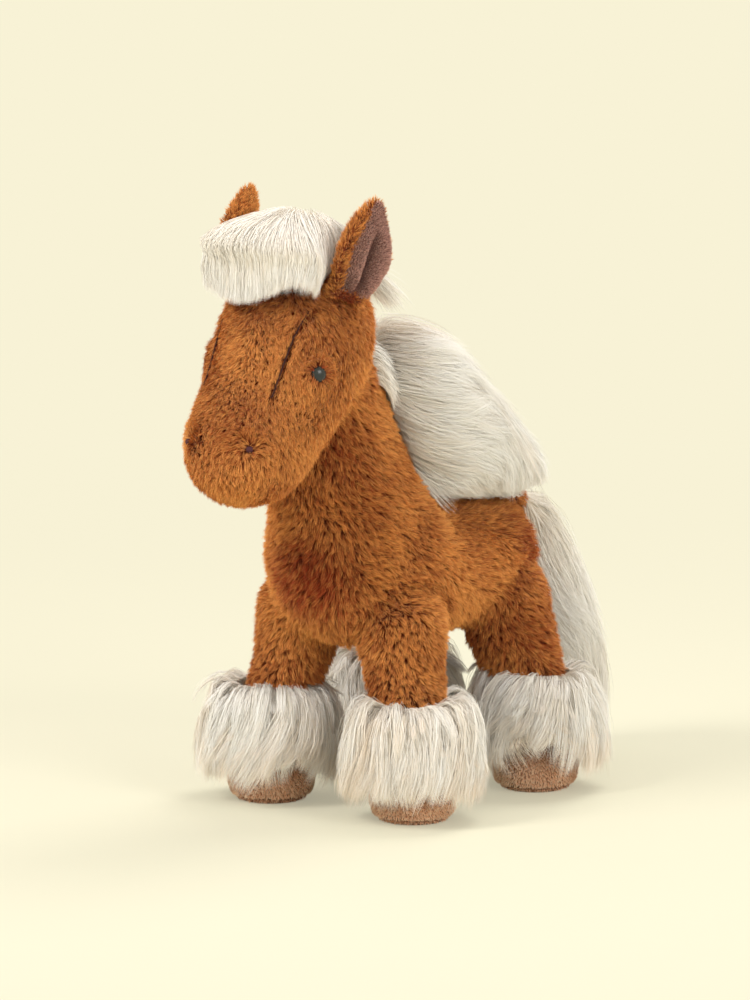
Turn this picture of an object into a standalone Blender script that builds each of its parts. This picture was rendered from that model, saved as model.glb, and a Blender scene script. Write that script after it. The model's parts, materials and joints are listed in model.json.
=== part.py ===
"""A standing plush horse with a long cream mane, forelock, tail and feathered feet.

The horse faces -Y, its left side is +X and +Z is up. The origin lies on the ground
under the middle of the horse. Every piece is sewn, glued or clipped in place, and the
pieces that flex on the real toy hang on empties that lie on the axes of their joints.
"""
import math

import bmesh
import bpy
from mathutils import Matrix, Vector
from mathutils.bvhtree import BVHTree

OBJECT_NAME = "plush_horse"
CUTTERS_NAME = "plush_horse_cutters"

# Driving sizes, metres
BODY_LENGTH = 0.170
BODY_WIDTH = 0.088
NECK_HEIGHT = 0.222
HIP_HEIGHT = 0.100
HEAD_LENGTH = 0.146
HEAD_WIDTH = 0.084

# Cloth, filling and fits
COVER_THICKNESS = 0.005
VELOUR_THICKNESS = 0.002
FIT_GAP = 0.0003
FILLING_GAP = 0.0008
EAR_SEAM_GAP = 0.0005
OVERRUN = 0.004

# Neck, where the head turns and nods
NECK_FORWARD_SHARE = 0.40
NECK_LEAN = math.radians(15.7)
NECK_RADIUS = 0.031
NECK_SEAM_THICKNESS = 0.003
NECK_SEAM_FROM = math.radians(58)
NECK_SEAM_TO = math.radians(74)
NECK_SWEEP_LENGTH = 0.080
NECK_SWEEP_FLARE = math.radians(17)
HEAD_SWEEP_RADIUS = 0.042
HEAD_SWEEP_BACK = 0.006
HEAD_SWEEP_HEIGHT = 0.034

# Head
HEAD_SLOPE = math.radians(51)
CROWN_BACK = 0.0065
CROWN_HEIGHT = 0.0675

# Legs, whose reach to the front and rear is a share of the body's length
HIP_SPREAD = 0.032
HIP_REACH_SHARE = 0.265
HIP_RADIUS = 0.025
HIP_BALL_END = math.radians(100)
FOOT_SPREAD = 0.046
FOOT_REACH_SHARE = 0.312
FRONT_LEG_RADIUS = 0.0205
REAR_LEG_RADIUS = 0.0225
ANKLE_RADIUS = 0.017

# Hooves and soles
HOOF_HEIGHT = 0.0297
HOOF_RADIUS = 0.0235
HOOF_MOUTH_RADIUS = 0.0155
SOLE_THICKNESS = 0.0025
SOLE_RADIUS = 0.0205
SOLE_EDGE = 0.0005
PELLET_RADIUS = 0.0185

# Feathers, the long cuffs over the hooves
FEATHER_TOP = 0.064
FEATHER_BOTTOM = 0.006
FEATHER_RADIUS = 0.0395
FEATHER_THICKNESS = 0.005

# Mane, forelock and tail
MANE_WIDTH = 0.068
MANE_SHIFT = 0.008
FORELOCK_WIDTH = 0.068
TAIL_WIDTH = 0.044
TAIL_SHIFT = 0.006
TAIL_ROOT_RADIUS = 0.008
TAIL_DOCK_RADIUS = 0.0085
TAIL_DOCK_WAIST = 0.0058
TAIL_DOCK_LENGTH = 0.0133
TAIL_DOCK_SLOPE = math.radians(13)
TAIL_ROOT_END = math.radians(60)
TAIL_DOCK_START = math.radians(115)
TAIL_ROOT_BACK_SHARE = 0.447
TAIL_ROOT_HEIGHT_SHARE = 0.631

# Ears
EAR_HEIGHT = 0.050
EAR_WIDTH = 0.031
EAR_CUP = 0.005
EAR_FORWARD = 0.0012
EAR_BACK_THICKNESS = 0.0035
EAR_LINING_THICKNESS = 0.0018
EAR_BEAD_RADIUS = 0.003
EAR_BEAD_LENGTH = 0.020
EAR_BACK_START = 0.0020
EAR_LINING_START = 0.0045
EAR_LINING_MARGIN = 0.0022
EAR_WIDTH_SHARES = (0.200, 0.905, -0.375)
EAR_UP_SHARES = (0.15, 0.40, 0.90)

# Eyes and nostrils
EYE_RADIUS = 0.0045
EYE_DOME = 0.0032
EYE_SHANK_RADIUS = 0.0015
EYE_SHANK_LENGTH = 0.0105
WASHER_RADIUS = 0.006
WASHER_THICKNESS = 0.0016
WASHER_SEAT = 0.0010
EYE_FORWARD = 0.050
EYE_RISE = 0.0175
NOSTRIL_RADIUS = 0.0030
NOSTRIL_THICKNESS = 0.0012
NOSTRIL_SIDE = 0.021
NOSTRIL_DROP = 0.017
RAY_REACH = 0.5

# Fineness of the meshes
FORM_SIDES = 16
BALL_SEGMENTS = 20
BALL_RINGS = 10
LEG_SEGMENTS = 16
HIP_ARC_STEPS = 6
SMALL_ARC_STEPS = 4
NECK_SEAM_STEPS = 2
SMALL_SEGMENTS = 12
WELD_DISTANCE = 1e-6

# Colours: base colour, roughness
BROWN_PLUSH = ((0.40, 0.13, 0.035), 0.90)
CREAM_PILE = ((0.83, 0.77, 0.66), 0.85)
HOOF_VELOUR = ((0.39, 0.20, 0.12), 0.95)
EAR_VELOUR = ((0.24, 0.11, 0.08), 0.95)
FIBRE_FILLING = ((0.88, 0.88, 0.86), 0.95)
PELLET_CLOTH = ((0.70, 0.68, 0.62), 0.90)
EYE_GLOSS = ((0.015, 0.018, 0.020), 0.08)
WASHER_PLASTIC = ((0.75, 0.75, 0.72), 0.45)
NOSTRIL_THREAD = ((0.075, 0.020, 0.028), 0.60)
SEAM_CLOTH = ((0.30, 0.11, 0.04), 0.90)

# Trunk and neck, rump to crest: y and z of the upper and of the lower point, half width.
# y is a share of the body's length, z of the neck's height, and the last of the width.
TRUNK_START_SHARES = (0.470, 0.570)
TRUNK_SHARES = (
    (0.453, 0.635, 0.459, 0.495, 0.205),
    (0.388, 0.685, 0.412, 0.428, 0.415),
    (0.235, 0.707, 0.265, 0.387, 0.545),
    (0.059, 0.712, 0.047, 0.378, 0.560),
    (-0.035, 0.725, -0.188, 0.374, 0.575),
    (-0.076, 0.766, -0.388, 0.405, 0.575),
    (-0.106, 0.815, -0.506, 0.523, 0.495),
    (-0.141, 0.878, -0.529, 0.667, 0.420),
    (-0.182, 0.955, -0.547, 0.811, 0.375),
    (-0.229, 1.036, -0.571, 0.964, 0.340),
)
TRUNK_END_SHARES = (-0.418, 1.045)

# Ear's base on the head: place as a share of its length, then over its middle line and to the
# side as shares of its width
EAR_PLACE_SHARES = (0.2083, 0.2200, 0.4107)

# Head, crown to nose: place as a share of its length, then heights over and under its middle
# line and half width as shares of its width
HEAD_SHARES = (
    (0.040, 0.240, 0.240, 0.240),
    (0.137, 0.405, 0.405, 0.393),
    (0.288, 0.500, 0.500, 0.482),
    (0.459, 0.482, 0.512, 0.484),
    (0.630, 0.418, 0.476, 0.430),
    (0.781, 0.395, 0.430, 0.416),
    (0.904, 0.333, 0.333, 0.352),
    (0.973, 0.190, 0.190, 0.214),
)

# Mane, poll to rump, with the columns of the trunk
MANE_START_SHARES = (-0.176, 1.140)
MANE_SHARES = (
    (-0.125, 1.140, -0.218, 1.018, 0.370),
    (0.000, 1.083, -0.206, 0.896, 0.480),
    (0.150, 0.986, -0.135, 0.798, 0.520),
    (0.300, 0.885, 0.006, 0.730, 0.520),
    (0.420, 0.790, 0.170, 0.712, 0.460),
    (0.480, 0.735, 0.325, 0.690, 0.330),
)
MANE_END_SHARES = (0.470, 0.705)

# Forelock, from behind the ears to the forehead, as shares of the head's width from the crown
FORELOCK_START_SHARES = (0.079, 0.065)
FORELOCK_SHARES = (
    (-0.006, 0.173, 0.019, -0.053, 0.240),
    (-0.244, 0.315, -0.220, -0.114, 0.300),
    (-0.512, 0.334, -0.477, -0.196, 0.360),
    (-0.729, 0.270, -0.668, -0.187, 0.465),
    (-0.880, 0.100, -0.807, -0.144, 0.440),
)
FORELOCK_END_SHARES = (-0.908, -0.048)

# Tail, from its top to the tip, as shares of its length from the middle of the dock
TAIL_LENGTH = 0.130
TAIL_START_SHARES = (0.054, 0.081)
TAIL_SHARES = (
    (0.131, 0.054, 0.008, 0.062, 0.230),
    (0.185, -0.038, -0.008, -0.038, 0.375),
    (0.231, -0.177, 0.015, -0.192, 0.450),
    (0.310, -0.369, 0.054, -0.392, 0.500),
    (0.395, -0.577, 0.115, -0.600, 0.500),
    (0.445, -0.754, 0.177, -0.777, 0.425),
    (0.450, -0.900, 0.250, -0.915, 0.275),
)
TAIL_END_SHARES = (0.355, -0.985)

# Leg below the hip: place down to the ankle, and radius as a share of the leg's own radius
LEG_SHARES = ((0.30, 1.06), (0.48, 1.00), (0.68, 0.96), (0.86, 0.89))

# Hoof wall and pellet bag: height as a share of the hoof's, radius as a share of the largest
HOOF_SHARES = ((0.88, 0.83), (0.61, 0.96), (0.34, 1.00), (0.15, 0.96))
PELLET_SHARES = ((0.86, 0.45), (0.70, 0.83), (0.40, 1.00), (0.12, 0.88))
FEATHER_SHARES = ((0.93, 0.66), (0.76, 0.83), (0.52, 0.95), (0.28, 1.00), (0.07, 0.97))
EAR_OUTLINE_SHARES = (
    (0.0, 0.64), (0.18, 0.84), (0.38, 1.0), (0.58, 0.90), (0.76, 0.64), (0.91, 0.30), (1.0, 0.07)
)
EAR_COLUMN_SHARES = (-1.0, -0.6, -0.2, 0.2, 0.6, 1.0)
EAR_TIP_SHARE = 0.0175
SINK_SHARE = 0.7


def clear_scene():
    """Remove every object, and the collections left from an earlier run."""
    for obj in list(bpy.data.objects):
        bpy.data.objects.remove(obj, do_unlink=True)
    for name in (OBJECT_NAME, CUTTERS_NAME):
        old = bpy.data.collections.get(name)
        if old:
            bpy.data.collections.remove(old)


def new_collection(name):
    """A fresh collection linked to the scene."""
    collection = bpy.data.collections.new(name)
    bpy.context.scene.collection.children.link(collection)
    return collection


def make_material(name, finish):
    """A plain cloth, thread or plastic finish."""
    colour, roughness = finish
    material = bpy.data.materials.new(name)
    material.use_nodes = True
    shader = material.node_tree.nodes["Principled BSDF"]
    shader.inputs["Base Color"].default_value = (*colour, 1.0)
    shader.inputs["Roughness"].default_value = roughness
    shader.inputs["Metallic"].default_value = 0.0
    material.diffuse_color = (*colour, 1.0)
    return material


def add_part(name, mesh, finish, parent=None, matrix=None):
    """One piece of the toy, in the parts collection."""
    obj = bpy.data.objects.new(name, mesh)
    bpy.data.collections[OBJECT_NAME].objects.link(obj)
    obj.parent = parent
    obj.matrix_local = matrix or Matrix.Identity(4)
    mesh.materials.clear()
    mesh.materials.append(make_material(name, finish))
    return obj


def add_cutter(name, mesh, parent=None, matrix=None):
    """A guide that shapes pieces and isn't one itself."""
    obj = bpy.data.objects.new(name, mesh)
    bpy.data.collections[CUTTERS_NAME].objects.link(obj)
    obj.parent = parent
    obj.matrix_local = matrix or Matrix.Identity(4)
    obj.hide_render = True
    obj.display_type = "WIRE"
    return obj


def add_joint(name, location, parent, rotation=None):
    """An empty that lies on a joint's axis and carries the pieces that move with it."""
    empty = bpy.data.objects.new(name, None)
    bpy.data.collections[OBJECT_NAME].objects.link(empty)
    empty.parent = parent
    empty.matrix_local = Matrix.Translation(location) @ (rotation or Matrix.Identity(4))
    return empty


def combine(obj, other, operation):
    """Cut a solid by another, or join the two."""
    modifier = obj.modifiers.new(other.name, "BOOLEAN")
    modifier.operation = operation
    modifier.solver = "EXACT"
    modifier.object = other


def cut(obj, *cutters):
    """Take each cutter's space out of a piece."""
    for cutter in cutters:
        combine(obj, cutter, "DIFFERENCE")


def finished(name, bm):
    """A mesh with its faces pointing out and shaded smooth."""
    bmesh.ops.remove_doubles(bm, verts=bm.verts, dist=WELD_DISTANCE)
    bmesh.ops.recalc_face_normals(bm, faces=bm.faces)
    mesh = bpy.data.meshes.new(name)
    bm.to_mesh(mesh)
    bm.free()
    mesh.shade_smooth()
    return mesh


def between(rows, steps):
    """The rows with smooth ones added between each pair, along a cubic through all of them."""
    result = []
    last = len(rows) - 1
    for index in range(last):
        before = rows[max(index - 1, 0)]
        here = rows[index]
        there = rows[index + 1]
        after = rows[min(index + 2, last)]
        for step in range(steps):
            t = step / steps
            result.append(tuple(cubic(a, b, c, d, t) for a, b, c, d in zip(before, here, there, after)))
    result.append(tuple(rows[last]))
    return result


def cubic(a, b, c, d, t):
    """The value at t between b and c on a cubic whose slopes follow the neighbours."""
    slope_b = (c - a) / 2
    slope_c = (d - b) / 2
    square = t * t
    cube = square * t
    rise = 3 * square - 2 * cube
    return b + (c - b) * rise + slope_b * (cube - 2 * square + t) + slope_c * (cube - square)


def loft(name, start, rows, end, steps=2):
    """A closed form over oval sections. A row holds the y and z of a section's upper and
    lower point, its half width and the x of its middle."""
    bm = bmesh.new()
    rings = []
    for upper_y, upper_z, lower_y, lower_z, half_width, middle_x in between(rows, steps):
        upper = Vector((middle_x, upper_y, upper_z))
        lower = Vector((middle_x, lower_y, lower_z))
        centre = (upper + lower) / 2
        rise = (upper - lower) / 2
        ring = []
        for side in range(FORM_SIDES):
            turn = math.tau * side / FORM_SIDES
            across = Vector((half_width * math.cos(turn), 0, 0))
            ring.append(bm.verts.new(centre + across + rise * math.sin(turn)))
        rings.append(ring)
    for ring, following in zip(rings, rings[1:]):
        bridge(bm, ring, following)
    close_end(bm, rings[0], start)
    close_end(bm, rings[-1], end)
    return finished(name, bm)


def bridge(bm, ring, following):
    """Faces between two rings of as many points."""
    for index, vert in enumerate(ring):
        after = (index + 1) % len(ring)
        bm.faces.new((vert, ring[after], following[after], following[index]))


def close_end(bm, ring, place):
    """A fan of faces from a ring to the point that ends the form."""
    tip = bm.verts.new(place)
    for index, vert in enumerate(ring):
        bm.faces.new((vert, ring[(index + 1) % len(ring)], tip))


def turned(name, profile, segments, closed=False):
    """A form turned about Z from a profile of radius and height pairs."""
    bm = bmesh.new()
    verts = [bm.verts.new((radius, 0, height)) for radius, height in profile]
    edges = [bm.edges.new(pair) for pair in zip(verts, verts[1:])]
    if closed:
        edges.append(bm.edges.new((verts[-1], verts[0])))
    bmesh.ops.spin(bm, geom=verts + edges, cent=(0, 0, 0), axis=(0, 0, 1), angle=math.tau,
                   steps=segments, use_merge=True)
    bmesh.ops.remove_doubles(bm, verts=bm.verts, dist=WELD_DISTANCE)
    return finished(name, bm)


def arc(radius, height, start, stop, steps):
    """Profile points round a ball, by the angle from its top."""
    angles = [start + (stop - start) * step / steps for step in range(steps + 1)]
    return [(radius * math.sin(angle), height + radius * math.cos(angle)) for angle in angles]


def ball(name, radius):
    """A ball about the origin."""
    bm = bmesh.new()
    bmesh.ops.create_uvsphere(bm, u_segments=BALL_SEGMENTS, v_segments=BALL_RINGS, radius=radius)
    return finished(name, bm)


def clear_radius(radius, segments, rings=None):
    """The radius of a faceted cutter that leaves the round radius clear at its flats.
    The rings are those of half a turn, and a plain ball has half as many as segments."""
    rings = rings or segments / 2
    return radius / math.cos(math.pi / segments) / math.cos(math.pi / rings / 2)


def offset(mesh, name, distance):
    """A copy of a form moved out along its normals, or in with a negative distance."""
    bm = bmesh.new()
    bm.from_mesh(mesh)
    bm.normal_update()
    places = [vert.co + vert.normal * distance for vert in bm.verts]
    for vert, place in zip(bm.verts, places):
        vert.co = place
    return finished(name, bm)


def moved(mesh, rule):
    """The mesh with each point put where the rule says."""
    for vert in mesh.vertices:
        vert.co = rule(vert.co)
    return mesh


def scaled_place(shares, length, height, origin=(0, 0, 0)):
    """A point from its shares, counted from the origin given."""
    return Vector(origin) + Vector((0, shares[0] * length, shares[1] * height))


def scaled_rows(shares, length, height, width, origin=(0, 0, 0)):
    """Section rows in metres from rows of shares, counted from the origin given."""
    rows = []
    for upper_y, upper_z, lower_y, lower_z, half in shares:
        upper = scaled_place((upper_y, upper_z), length, height, origin)
        lower = scaled_place((lower_y, lower_z), length, height, origin)
        rows.append((upper.y, upper.z, lower.y, lower.z, half * width, upper.x))
    return rows


def neck_pivot():
    """The point about which the head turns and nods."""
    return Vector((0, -NECK_FORWARD_SHARE * BODY_LENGTH, NECK_HEIGHT))


def neck_turn():
    """The rotation that leans Z along the neck."""
    return Matrix.Rotation(NECK_LEAN, 4, "X")


def hip_place(side, end):
    """A hip's place, with side 1 on the left and end -1 at the front."""
    return Vector((side * HIP_SPREAD, end * HIP_REACH_SHARE * BODY_LENGTH, HIP_HEIGHT))


def trunk_form(name, steps=2):
    """The outer form of the trunk and neck, plainer with fewer steps."""
    rows = scaled_rows(TRUNK_SHARES, BODY_LENGTH, NECK_HEIGHT, BODY_WIDTH)
    start = scaled_place(TRUNK_START_SHARES, BODY_LENGTH, NECK_HEIGHT)
    end = scaled_place(TRUNK_END_SHARES, BODY_LENGTH, NECK_HEIGHT)
    return loft(name, start, rows, end, steps)


def neck_ball(name, radius, root):
    """A ball at the neck's top, which other solids are joined with or cut by."""
    return add_cutter(name, ball(name, radius), root, Matrix.Translation(neck_pivot()))


def pocket_form(name):
    """The space that a leg's top sweeps: a ball that runs on straight down."""
    radius = clear_radius(HIP_RADIUS + FIT_GAP, LEG_SEGMENTS, HIP_ARC_STEPS + HIP_ARC_STEPS)
    profile = arc(radius, 0, 0, math.pi / 2, HIP_ARC_STEPS)
    profile += [(radius, -HIP_HEIGHT), (0, -HIP_HEIGHT)]
    return turned(name, profile, LEG_SEGMENTS)


def add_trunk(root):
    """Trunk and neck: the cover, a shell that is open at the hips, and its filling."""
    skin = trunk_form("trunk_cover")
    plain = trunk_form("trunk_lining", steps=1)
    hollow = add_cutter("cut_trunk_hollow", offset(plain, "cut_trunk_hollow", -COVER_THICKNESS), root)
    inside = COVER_THICKNESS + FILLING_GAP
    combine(hollow, neck_ball("neck_hollow_ball", NECK_RADIUS - COVER_THICKNESS, root), "UNION")
    cover = add_part("trunk_cover", skin, BROWN_PLUSH, root)
    combine(cover, neck_ball("neck_top_ball", NECK_RADIUS, root), "UNION")
    cut(cover, hollow)
    filling = add_part("trunk_filling", offset(plain, "trunk_filling", -inside), FIBRE_FILLING, root)
    combine(filling, neck_ball("neck_filling_ball", NECK_RADIUS - inside, root), "UNION")
    for side_name, side in (("left", 1), ("right", -1)):
        for end_name, end in (("front", -1), ("rear", 1)):
            name = "cut_" + end_name + "_" + side_name + "_hip"
            pocket = add_cutter(name, pocket_form(name), root, Matrix.Translation(hip_place(side, end)))
            cut(cover, pocket)
            cut(filling, pocket)


def add_mane(root):
    """The long pile on the crest, which falls back over the withers and to the left."""
    middle = (MANE_SHIFT, 0, 0)
    rows = scaled_rows(MANE_SHARES, BODY_LENGTH, NECK_HEIGHT, MANE_WIDTH, middle)
    start = scaled_place(MANE_START_SHARES, BODY_LENGTH, NECK_HEIGHT, middle)
    end = scaled_place(MANE_END_SHARES, BODY_LENGTH, NECK_HEIGHT, middle)
    mane = add_part("mane", loft("mane", start, rows, end), CREAM_PILE, root)
    bed = add_cutter("cut_mane_bed", offset(trunk_form("cut_mane_bed"), "cut_mane_bed", FIT_GAP), root)
    neck_space = clear_radius(NECK_RADIUS + FIT_GAP, BALL_SEGMENTS)
    combine(bed, neck_ball("mane_neck_ball", neck_space, root), "UNION")
    sweep_place = neck_pivot() + Vector((0, -HEAD_SWEEP_BACK, HEAD_SWEEP_HEIGHT))
    sweep_mesh = ball("cut_head_sweep", HEAD_SWEEP_RADIUS)
    sweep = add_cutter("cut_head_sweep", sweep_mesh, root, Matrix.Translation(sweep_place))
    cut(mane, bed, sweep)


def seam_outer_radius():
    """The outside of the neck seam about the neck's pivot."""
    return NECK_RADIUS + FIT_GAP + NECK_SEAM_THICKNESS


def add_neck_seam(joint):
    """The doubled edge of the head cover's neck opening, a band round the neck's top."""
    inner = clear_radius(NECK_RADIUS + FIT_GAP, BALL_SEGMENTS)
    profile = arc(seam_outer_radius(), 0, NECK_SEAM_FROM, NECK_SEAM_TO, NECK_SEAM_STEPS)
    profile += reversed(arc(inner, 0, NECK_SEAM_FROM, NECK_SEAM_TO, NECK_SEAM_STEPS))
    mesh = turned("neck_seam", profile, BALL_SEGMENTS, closed=True)
    add_part("neck_seam", mesh, SEAM_CLOTH, joint)


def head_axes():
    """The crown's place about the neck's pivot, the way to the nose and the way over the brow."""
    along = Vector((0, -math.cos(HEAD_SLOPE), -math.sin(HEAD_SLOPE)))
    brow = Vector((0, -math.sin(HEAD_SLOPE), math.cos(HEAD_SLOPE)))
    return Vector((0, CROWN_BACK, CROWN_HEIGHT)), along, brow


def head_form(name, steps=2):
    """The outer form of the head about the neck's pivot, plainer with fewer steps."""
    crown, along, brow = head_axes()
    rows = []
    for place_share, upper_share, lower_share, width_share in HEAD_SHARES:
        centre = crown + along * (place_share * HEAD_LENGTH)
        upper = centre + brow * (upper_share * HEAD_WIDTH)
        lower = centre - brow * (lower_share * HEAD_WIDTH)
        rows.append((upper.y, upper.z, lower.y, lower.z, width_share * HEAD_WIDTH, 0))
    return loft(name, crown, rows, crown + along * HEAD_LENGTH, steps)


def add_neck_clearance(joint):
    """The spaces in the head for the neck's ball and for the neck as the head nods."""
    radius = seam_outer_radius() + FIT_GAP
    socket_radius = clear_radius(radius, BALL_SEGMENTS)
    socket = add_cutter("cut_neck_socket", ball("cut_neck_socket", socket_radius), joint, neck_turn())
    bm = bmesh.new()
    wide = socket_radius + NECK_SWEEP_LENGTH * math.tan(NECK_SWEEP_FLARE)
    bmesh.ops.create_cone(bm, cap_ends=True, segments=BALL_SEGMENTS, radius1=wide, radius2=socket_radius,
                          depth=NECK_SWEEP_LENGTH)
    bmesh.ops.translate(bm, verts=bm.verts, vec=(0, 0, -NECK_SWEEP_LENGTH / 2))
    sweep = add_cutter("cut_neck_sweep", finished("cut_neck_sweep", bm), joint, neck_turn())
    return socket, sweep


def surface_frame(tree, origin, direction):
    """The place on a form that a ray meets, with Z turned along the surface's normal."""
    place, normal, _, _ = tree.ray_cast(origin, direction)
    turn = Vector((0, 0, 1)).rotation_difference(normal).to_matrix().to_4x4()
    return Matrix.Translation(place) @ turn


def form_tree(mesh):
    """A search tree of a form's faces."""
    bm = bmesh.new()
    bm.from_mesh(mesh)
    tree = BVHTree.FromBMesh(bm)
    bm.free()
    return tree


def eye_form(name):
    """A domed eye on its shank, with the dome's underside at height zero."""
    profile = []
    for step in range(SMALL_ARC_STEPS):
        turn = math.pi / 2 * step / SMALL_ARC_STEPS
        profile.append((EYE_RADIUS * math.sin(turn), EYE_DOME * math.cos(turn)))
    profile += [(EYE_RADIUS, 0), (EYE_SHANK_RADIUS, 0), (EYE_SHANK_RADIUS, -EYE_SHANK_LENGTH),
                (0, -EYE_SHANK_LENGTH)]
    return turned(name, profile, SMALL_SEGMENTS)


def washer_form(name):
    """The flat ring that locks an eye's shank behind the cover."""
    hole = clear_radius(EYE_SHANK_RADIUS + FIT_GAP, SMALL_SEGMENTS)
    top = -COVER_THICKNESS - WASHER_SEAT
    bottom = top - WASHER_THICKNESS
    profile = [(WASHER_RADIUS, top), (WASHER_RADIUS, bottom), (hole, bottom), (hole, top)]
    return turned(name, profile, SMALL_SEGMENTS, closed=True)


def shaft_form(name, radius, top, bottom):
    """A plain round cutter."""
    wide = clear_radius(radius, SMALL_SEGMENTS)
    return turned(name, [(0, top), (wide, top), (wide, bottom), (0, bottom)], SMALL_SEGMENTS)


def add_eye(side_name, side, tree, joint, cover, filling):
    """An eye, its washer, and the holes that both need."""
    origin = Vector((side * RAY_REACH, -EYE_FORWARD, EYE_RISE))
    seat = surface_frame(tree, origin, Vector((-side, 0, 0))) @ Matrix.Translation((0, 0, FIT_GAP))
    name = side_name + "_eye"
    add_part(name, eye_form(name), EYE_GLOSS, joint, seat)
    add_part(name + "_washer", washer_form(name + "_washer"), WASHER_PLASTIC, joint, seat)
    hole_name = "cut_" + name + "_hole"
    hole_mesh = shaft_form(hole_name, EYE_SHANK_RADIUS + FIT_GAP, OVERRUN, -EYE_SHANK_LENGTH - FIT_GAP)
    hole = add_cutter(hole_name, hole_mesh, joint, seat)
    pocket_name = "cut_" + name + "_washer"
    depth = COVER_THICKNESS + WASHER_SEAT + WASHER_THICKNESS + FIT_GAP
    pocket_mesh = shaft_form(pocket_name, WASHER_RADIUS + FIT_GAP, OVERRUN, -depth)
    pocket = add_cutter(pocket_name, pocket_mesh, joint, seat)
    recess_name = "cut_" + name + "_recess"
    recess_top = FIT_GAP - COVER_THICKNESS - WASHER_SEAT
    recess_mesh = shaft_form(recess_name, WASHER_RADIUS + FIT_GAP, recess_top, -depth)
    cut(cover, hole, add_cutter(recess_name, recess_mesh, joint, seat))
    cut(filling, pocket, hole)


def add_nostril(side_name, side, tree, joint):
    """A small satin-stitched oval on the front of the muzzle."""
    origin = Vector((side * NOSTRIL_SIDE, -RAY_REACH, -NOSTRIL_DROP))
    seat = surface_frame(tree, origin, Vector((0, 1, 0))) @ Matrix.Translation((0, 0, FIT_GAP))
    name = side_name + "_nostril"
    shoulder = SINK_SHARE * NOSTRIL_THICKNESS
    profile = [(0, NOSTRIL_THICKNESS), (SINK_SHARE * NOSTRIL_RADIUS, shoulder), (NOSTRIL_RADIUS, 0), (0, 0)]
    add_part(name, turned(name, profile, SMALL_SEGMENTS), NOSTRIL_THREAD, joint, seat)


def ear_frame(side):
    """The ear's place on the head and its directions: X along its base and Z up its middle."""
    crown, along, brow = head_axes()
    place_share, over_share, side_share = EAR_PLACE_SHARES
    base = crown + along * (place_share * HEAD_LENGTH) + brow * (over_share * HEAD_WIDTH)
    base.x = side * side_share * HEAD_WIDTH
    across = Vector(EAR_WIDTH_SHARES)
    up = Vector(EAR_UP_SHARES)
    across.x *= side
    up.x *= side
    across.normalize()
    across *= side
    up = (up - across * up.dot(across)).normalized()
    depth = up.cross(across)
    turn = Matrix((across, depth, up)).transposed().to_4x4()
    return Matrix.Translation(base) @ turn


def ear_sheet(name, start, margin):
    """The ear's cupped leaf, an open sheet whose hollow faces -Y."""
    bm = bmesh.new()
    rows = []
    for height_share, width_share in EAR_OUTLINE_SHARES:
        height = start + (EAR_HEIGHT - margin - start) * height_share
        half = max(EAR_WIDTH / 2 * width_share - margin, EAR_WIDTH * EAR_TIP_SHARE)
        row = []
        for column in EAR_COLUMN_SHARES:
            across = half * column
            fold = EAR_CUP * (across / (EAR_WIDTH / 2)) ** 2
            row.append(bm.verts.new((across, -EAR_FORWARD - fold, height)))
        rows.append(row)
    for row, following in zip(rows, rows[1:]):
        for index in range(len(row) - 1):
            bm.faces.new((row[index], row[index + 1], following[index + 1], following[index]))
    mesh = bpy.data.meshes.new(name)
    bm.to_mesh(mesh)
    bm.free()
    mesh.shade_smooth()
    return mesh


def thicken(obj, thickness, toward_front, first_gap=0):
    """Give a sheet its thickness on its front or back face."""
    if first_gap:
        for vert in obj.data.vertices:
            vert.co += vert.normal * first_gap
    modifier = obj.modifiers.new("thickness", "SOLIDIFY")
    modifier.thickness = thickness
    modifier.offset = 1 if toward_front else -1
    modifier.use_even_offset = True


def add_ear(side_name, side, joint):
    """A plush back with its rolled base, and the velour lining."""
    name = side_name + "_ear_back"
    back = add_part(name, ear_sheet(name, EAR_BACK_START, 0), BROWN_PLUSH, joint)
    thicken(back, EAR_BACK_THICKNESS, toward_front=False)
    bead_name = side_name + "_ear_bead"
    bead = add_cutter(bead_name, rod_form(bead_name, EAR_BEAD_RADIUS, EAR_BEAD_LENGTH), joint)
    combine(back, bead, "UNION")
    lining_name = side_name + "_ear_lining"
    lining_mesh = ear_sheet(lining_name, EAR_LINING_START, EAR_LINING_MARGIN)
    lining = add_part(lining_name, lining_mesh, EAR_VELOUR, joint)
    thicken(lining, EAR_LINING_THICKNESS, toward_front=True, first_gap=EAR_SEAM_GAP)


def rod_form(name, radius, length):
    """A plain rod along X about the origin."""
    mesh = turned(name, [(0, length / 2), (radius, length / 2), (radius, -length / 2), (0, -length / 2)],
                  SMALL_SEGMENTS)
    mesh.transform(Matrix.Rotation(math.pi / 2, 4, "Y"))
    return mesh


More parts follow.
